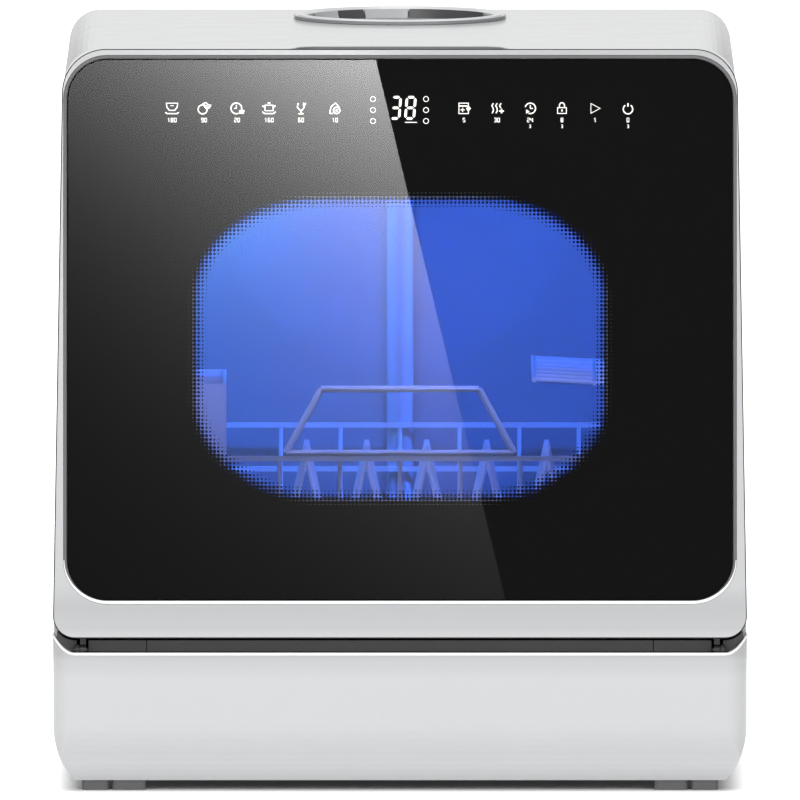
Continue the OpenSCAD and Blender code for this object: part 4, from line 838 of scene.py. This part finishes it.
BAND_OUT, BAND_THICK, BAND_LOW, BAND_HIGH = 0.25, 0.22, 2.6, 0.9
BOWL_INSET, FACET_THICK, FACET_FLARE, FACET_LOW, FACET_HIGH = 11.5, 0.6, 3.0, 8.5, 1.2
# Facets of the bowl: name, first and last angle in degrees, tone (painted light on some facets, painted shade on
# others)
FACETS = [("right", 24, 84, "port_painted_shade"), ("middle", 85, 113, "port_pale_and_painted_light"),
          ("left", 114, 133, "port_painted_shade"), ("far_left", 134, 160, "port_pale_and_painted_light")]


def make_port_details():
    """A grey band of painted shade round the collar of the fill port, and facets inside it toned with painted
    light and shade.
    """
    low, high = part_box("fill_collar")
    centre_y = (low.y + high.y) / 2 / MM
    radius = (high.x - low.x) / 2 / MM
    top = high.z / MM
    arc_wall("collar_painted_shade_band", radius + BAND_OUT, BAND_THICK, top - BAND_LOW, top - BAND_HIGH,
             0, 360, centre_y, MATS["port_grey_and_painted_shade"])
    for word, a0, a1, tone in FACETS:
        arc_wall(f"port_painted_facet_{word}", radius - BOWL_INSET, FACET_THICK, top - FACET_LOW,
                 top - FACET_HIGH, a0, a1, centre_y, MATS[tone], FACET_FLARE)


# ---------------------------------------------------------------- camera
SENSOR = 36
# Width of the picture at the door, in metres, and the door's depth before the origin
FRAME_WIDTH = 0.4749
FRAME_DEPTH = 0.19


def make_camera():
    data = bpy.data.cameras.new("camera")
    cam = bpy.data.objects.new("camera", data)
    bpy.context.scene.collection.objects.link(cam)
    away = Vector((0, -math.cos(ELEV), math.sin(ELEV)))
    cam.location = TARGET + DIST * away
    cam.rotation_euler = (TARGET - cam.location).to_track_quat("-Z", "Y").to_euler()
    data.sensor_width = SENSOR
    data.lens = SENSOR * (DIST - FRAME_DEPTH) / FRAME_WIDTH
    data.clip_end = 100
    bpy.context.scene.camera = cam
    return cam


# ---------------------------------------------------------------- stage and light
def only_seen_by(obj, *seen):
    for kind in ("camera", "diffuse", "glossy", "transmission", "volume_scatter", "shadow"):
        setattr(obj, f"visible_{kind}", kind in seen)


def glow_material(name, strength, attribute=None):
    """A plain light; its colour can come from the mesh's points."""
    mat = bpy.data.materials.new(name)
    graph = Graph(mat)
    glow = graph.add("Emission", {"Strength": strength})
    if attribute:
        shade = graph.add("Attribute", attribute_name=attribute)
        graph.join(shade.outputs["Color"], glow.inputs["Color"])
    graph.join(glow.outputs[0], graph.add("OutputMaterial").inputs["Surface"])
    return mat


def stage_piece(name, verts, faces, mat):
    obj = mesh_object(name, verts, faces, mat)
    bpy.context.scene.collection.objects.link(obj)
    return obj


# Half-size of the floor, half-size of the shaded square on it and the width of its soft edge
FLOOR_HALF = 16.0
SHADE_HALF, SHADE_FADE = 0.188, 0.032
# Glow of the floor near the feet, away from them, and its share in reflections
FLOOR_NEAR, FLOOR_FAR, FLOOR_IN_GLOSS = 0.015, 1.0, 0.5


def make_floor():
    """A wide pale floor, white to the eye, that keeps the soft shadow near the feet."""
    mat = bpy.data.materials.new("stage_white")
    graph = Graph(mat)
    diffuse = graph.add("BsdfDiffuse", {"Color": (0.9, 0.9, 0.9, 1)})
    # Distance outside the shaded square sets how much of the glow is left
    coord = graph.add("TexCoord")
    fold = graph.add("VectorMath", operation="ABSOLUTE")
    aside = graph.add("VectorMath", {1: (SHADE_HALF, SHADE_HALF, 1.0)}, operation="SUBTRACT")
    outside = graph.add("VectorMath", {1: (0.0, 0.0, 0.0)}, operation="MAXIMUM")
    reach = graph.add("VectorMath", operation="LENGTH")
    fade = graph.add("MapRange", {"From Min": 0.0, "From Max": SHADE_FADE,
                                  "To Min": FLOOR_NEAR, "To Max": FLOOR_FAR},
                     interpolation_type="SMOOTHSTEP")
    graph.join(coord.outputs["Object"], fold.inputs[0])
    graph.join(fold.outputs["Vector"], aside.inputs[0])
    graph.join(aside.outputs["Vector"], outside.inputs[0])
    graph.join(outside.outputs["Vector"], reach.inputs[0])
    graph.join(reach.outputs["Value"], fade.inputs["Value"])
    # The glow is for the eye, and in part for reflections
    path = graph.add("LightPath")
    mirrored = graph.add("Math", {1: FLOOR_IN_GLOSS}, operation="MULTIPLY")
    seen = graph.add("Math", operation="MAXIMUM")
    lift = graph.add("Math", operation="MULTIPLY")
    glow = graph.add("Emission")
    both = graph.add("AddShader")
    graph.join(path.outputs["Is Glossy Ray"], mirrored.inputs[0])
    graph.join(path.outputs["Is Camera Ray"], seen.inputs[0])
    graph.join(mirrored.outputs[0], seen.inputs[1])
    graph.join(seen.outputs[0], lift.inputs[0])
    graph.join(fade.outputs["Result"], lift.inputs[1])
    graph.join(lift.outputs[0], glow.inputs["Strength"])
    graph.join(diffuse.outputs[0], both.inputs[0])
    graph.join(glow.outputs[0], both.inputs[1])
    graph.join(both.outputs[0], graph.add("OutputMaterial").inputs["Surface"])
    h = FLOOR_HALF
    stage_piece("stage_floor", [(-h, -h, 0), (h, -h, 0), (h, h, 0), (-h, h, 0)],
                [(0, 1, 2, 3)], mat)


# The soft light that the glass reflects: its plane, its dim and its bright level
CARD_Y = -3.0
CARD_REST = 0.19
CARD_PEAK = 9.6
# How its brightness falls, in pixels of the photograph: down from a row, and away from the edge
PEAK_ROW, TOP_ROW, FALL_DOWN = 110, 40, 138
FALL_ASIDE, FALL_POWER = 215, 1.3
EDGE_BLUR = 0.8


def seen_in_glass(px, py, cam_at):
    """Where on the card a pixel's ray lands after the door's glass reflects it."""
    at = door_point(x_of(px), GLASS_FRONT, v_of(py))
    ray = (at - cam_at).normalized()
    normal = (DOOR.to_3x3() @ Vector((0, -1, 0))).normalized()
    back = ray - 2 * ray.dot(normal) * normal
    return at + back * ((CARD_Y - at.y) / back.y)


def slant_edge(py):
    """Column of the photograph where the reflected light ends in a row."""
    return 375 + (505 - 375) * (py - 58) / (600 - 58)


def glass_glow(px, py):
    """Brightness of the reflected light at a place on the glass."""
    inside = slant_edge(py) - px
    if inside < -EDGE_BLUR / 2:
        return CARD_REST
    down = math.exp(-(max(py, TOP_ROW) - PEAK_ROW) / FALL_DOWN)
    aside = math.exp(-((max(inside, 0) / FALL_ASIDE) ** FALL_POWER))
    return CARD_REST + CARD_PEAK * down * aside


def make_reflection_card(cam_at):
    """A soft light seen only in the glass, with its slanting edge."""
    rows = [-104 + 24 * j for j in range(31)]
    left, right, lit = 40, 760, 20
    verts, faces, shades = [], [], []
    for py in rows:
        edge = slant_edge(py)
        xs = [left + (edge - left) * i / lit for i in range(lit + 1)]
        xs += [edge + EDGE_BLUR] + [edge + (right - edge) * i / 6 for i in range(1, 7)]
        verts += [seen_in_glass(px, py, cam_at) for px in xs]
        shades += [glass_glow(px, py) for px in xs]
    wide = lit + 8
    for j in range(len(rows) - 1):
        for i in range(wide - 1):
            k = j * wide + i
            faces.append((k, k + 1, k + wide + 1, k + wide))
    card = stage_piece("stage_card", verts, faces, glow_material("card_glow", 1.0, "shade"))
    layer = card.data.color_attributes.new("shade", "FLOAT_COLOR", "POINT")
    for i, shade in enumerate(shades):
        layer.data[i].color = (shade, shade, shade, 1)
    only_seen_by(card, "glossy", "transmission")


def make_flag(name, x0, x1, y0, y1, z0, z1, shade):
    """A flat board, upright or level, that only reflections see."""
    if x0 == x1:
        verts = [(x0, y0, z0), (x0, y1, z0), (x0, y1, z1), (x0, y0, z1)]
    elif y0 == y1:
        verts = [(x0, y0, z0), (x1, y0, z0), (x1, y0, z1), (x0, y0, z1)]
    else:
        verts = [(x0, y0, z0), (x1, y0, z0), (x1, y1, z0), (x0, y1, z0)]
    flag = stage_piece(name, verts, [(0, 1, 2, 3)], glow_material(name + "_shade", shade))
    only_seen_by(flag, "glossy")


def area_light(name, at, aim, size, size_y, power, color=(1, 1, 1), spread=180):
    data = bpy.data.lights.new(name, "AREA")
    data.shape = "RECTANGLE"
    data.size, data.size_y = size, size_y
    data.energy = power
    data.spread = math.radians(spread)
    data.color = color
    obj = bpy.data.objects.new(name, data)
    obj.location = at
    obj.rotation_euler = (Vector(aim) - Vector(at)).to_track_quat("-Z", "Y").to_euler()
    bpy.context.scene.collection.objects.link(obj)


def make_world(lit, mirrored):
    """A plain white surround: full to the camera, softer in reflections, dim as a lamp."""
    world = bpy.data.worlds.new("studio")
    bpy.context.scene.world = world
    graph = Graph(world, empty=False)
    back = graph.nodes["Background"]
    back.inputs["Color"].default_value = (1, 1, 1, 1)
    path = graph.add("LightPath")
    soft = graph.add("MapRange", {"To Min": lit, "To Max": mirrored})
    full = graph.add("MapRange", {"To Max": 1.0})
    graph.join(path.outputs["Is Glossy Ray"], soft.inputs["Value"])
    graph.join(soft.outputs["Result"], full.inputs["To Min"])
    graph.join(path.outputs["Is Camera Ray"], full.inputs["Value"])
    graph.join(full.outputs["Result"], back.inputs["Strength"])


WORLD_LIT, WORLD_MIRRORED = 0.42, 0.8
LAMP_AIM = (0, 0, 0.2)
# Each soft lamp: name, place, width, height, power
LAMPS = [("key", (-1.6, -3.4, 3.0), 2.4, 2.0, 60), ("fill", (1.8, -3.4, 1.6), 2.0, 2.0, 22),
         ("top", (0, 0.3, 3.2), 2.4, 2.4, 26)]
# The strip light in the tub: its size and spread; and the blues of the three lights in there
STRIP_LONG, STRIP_WIDE, STRIP_SPREAD = 0.24, 0.01, 95
TUB_BLUE, BASKET_BLUE, CORNER_BLUE = (0.04, 0.17, 1.0), (0.3, 0.36, 1.0), (0.02, 0.45, 1.0)


def light_studio(cam_at):
    """The surround, the soft lamps, what the shiny faces reflect, and the light in the tub."""
    make_world(WORLD_LIT, WORLD_MIRRORED)
    for name, at, size, size_y, power in LAMPS:
        area_light(name, at, LAMP_AIM, size, size_y, power)
    make_reflection_card(cam_at)
    for side, word in ((-1, "left"), (1, "right")):
        make_flag(f"stage_flag_{word}", side * 1.6, side * 1.6, -1.2, 2.5, 0.0, 2.2, 0.05)
        make_flag(f"stage_flag_behind_{word}", side * 0.27, side * 3.0, 0.7, 0.7, 0.0, 2.5, 0.0)
    make_flag("stage_flag_over", -2.0, 2.0, -2.0, 0.1, 2.3, 2.3, 0.05)
    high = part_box("tub")[1]
    lamp_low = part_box("tub_lamp")[0]
    area_light("tub_glow", (0, lamp_low.y - 0.004, lamp_low.z - 0.006),
               (0, high.y, high.z - 0.05), STRIP_LONG, STRIP_WIDE, 11.0, TUB_BLUE, STRIP_SPREAD)
    area_light("basket_glow", (0, -0.147, 0.31), (0, -0.132, 0.2), STRIP_LONG, STRIP_WIDE, 0.6,
               BASKET_BLUE)
    area_light("tub_glow_side", (-0.13, high.y - 0.05, high.z - 0.03),
               (-0.1, high.y, high.z - 0.14), 0.05, 0.05, 0.4, CORNER_BLUE)


# ---------------------------------------------------------------- the scene
BEZEL_SOFT = 0.4

dress_nodes()
soften(NODES["glass_bezel"], BEZEL_SOFT)
make_frit()
make_prints()
make_door_skin()
make_bezel_painted_highlight()
make_rim_painted_highlight()
make_sill()
make_recess_painted_shade_wall()
make_port_details()
camera = make_camera()
make_floor()
light_studio(camera.location)
bpy.context.scene.view_settings.view_transform = "Standard"
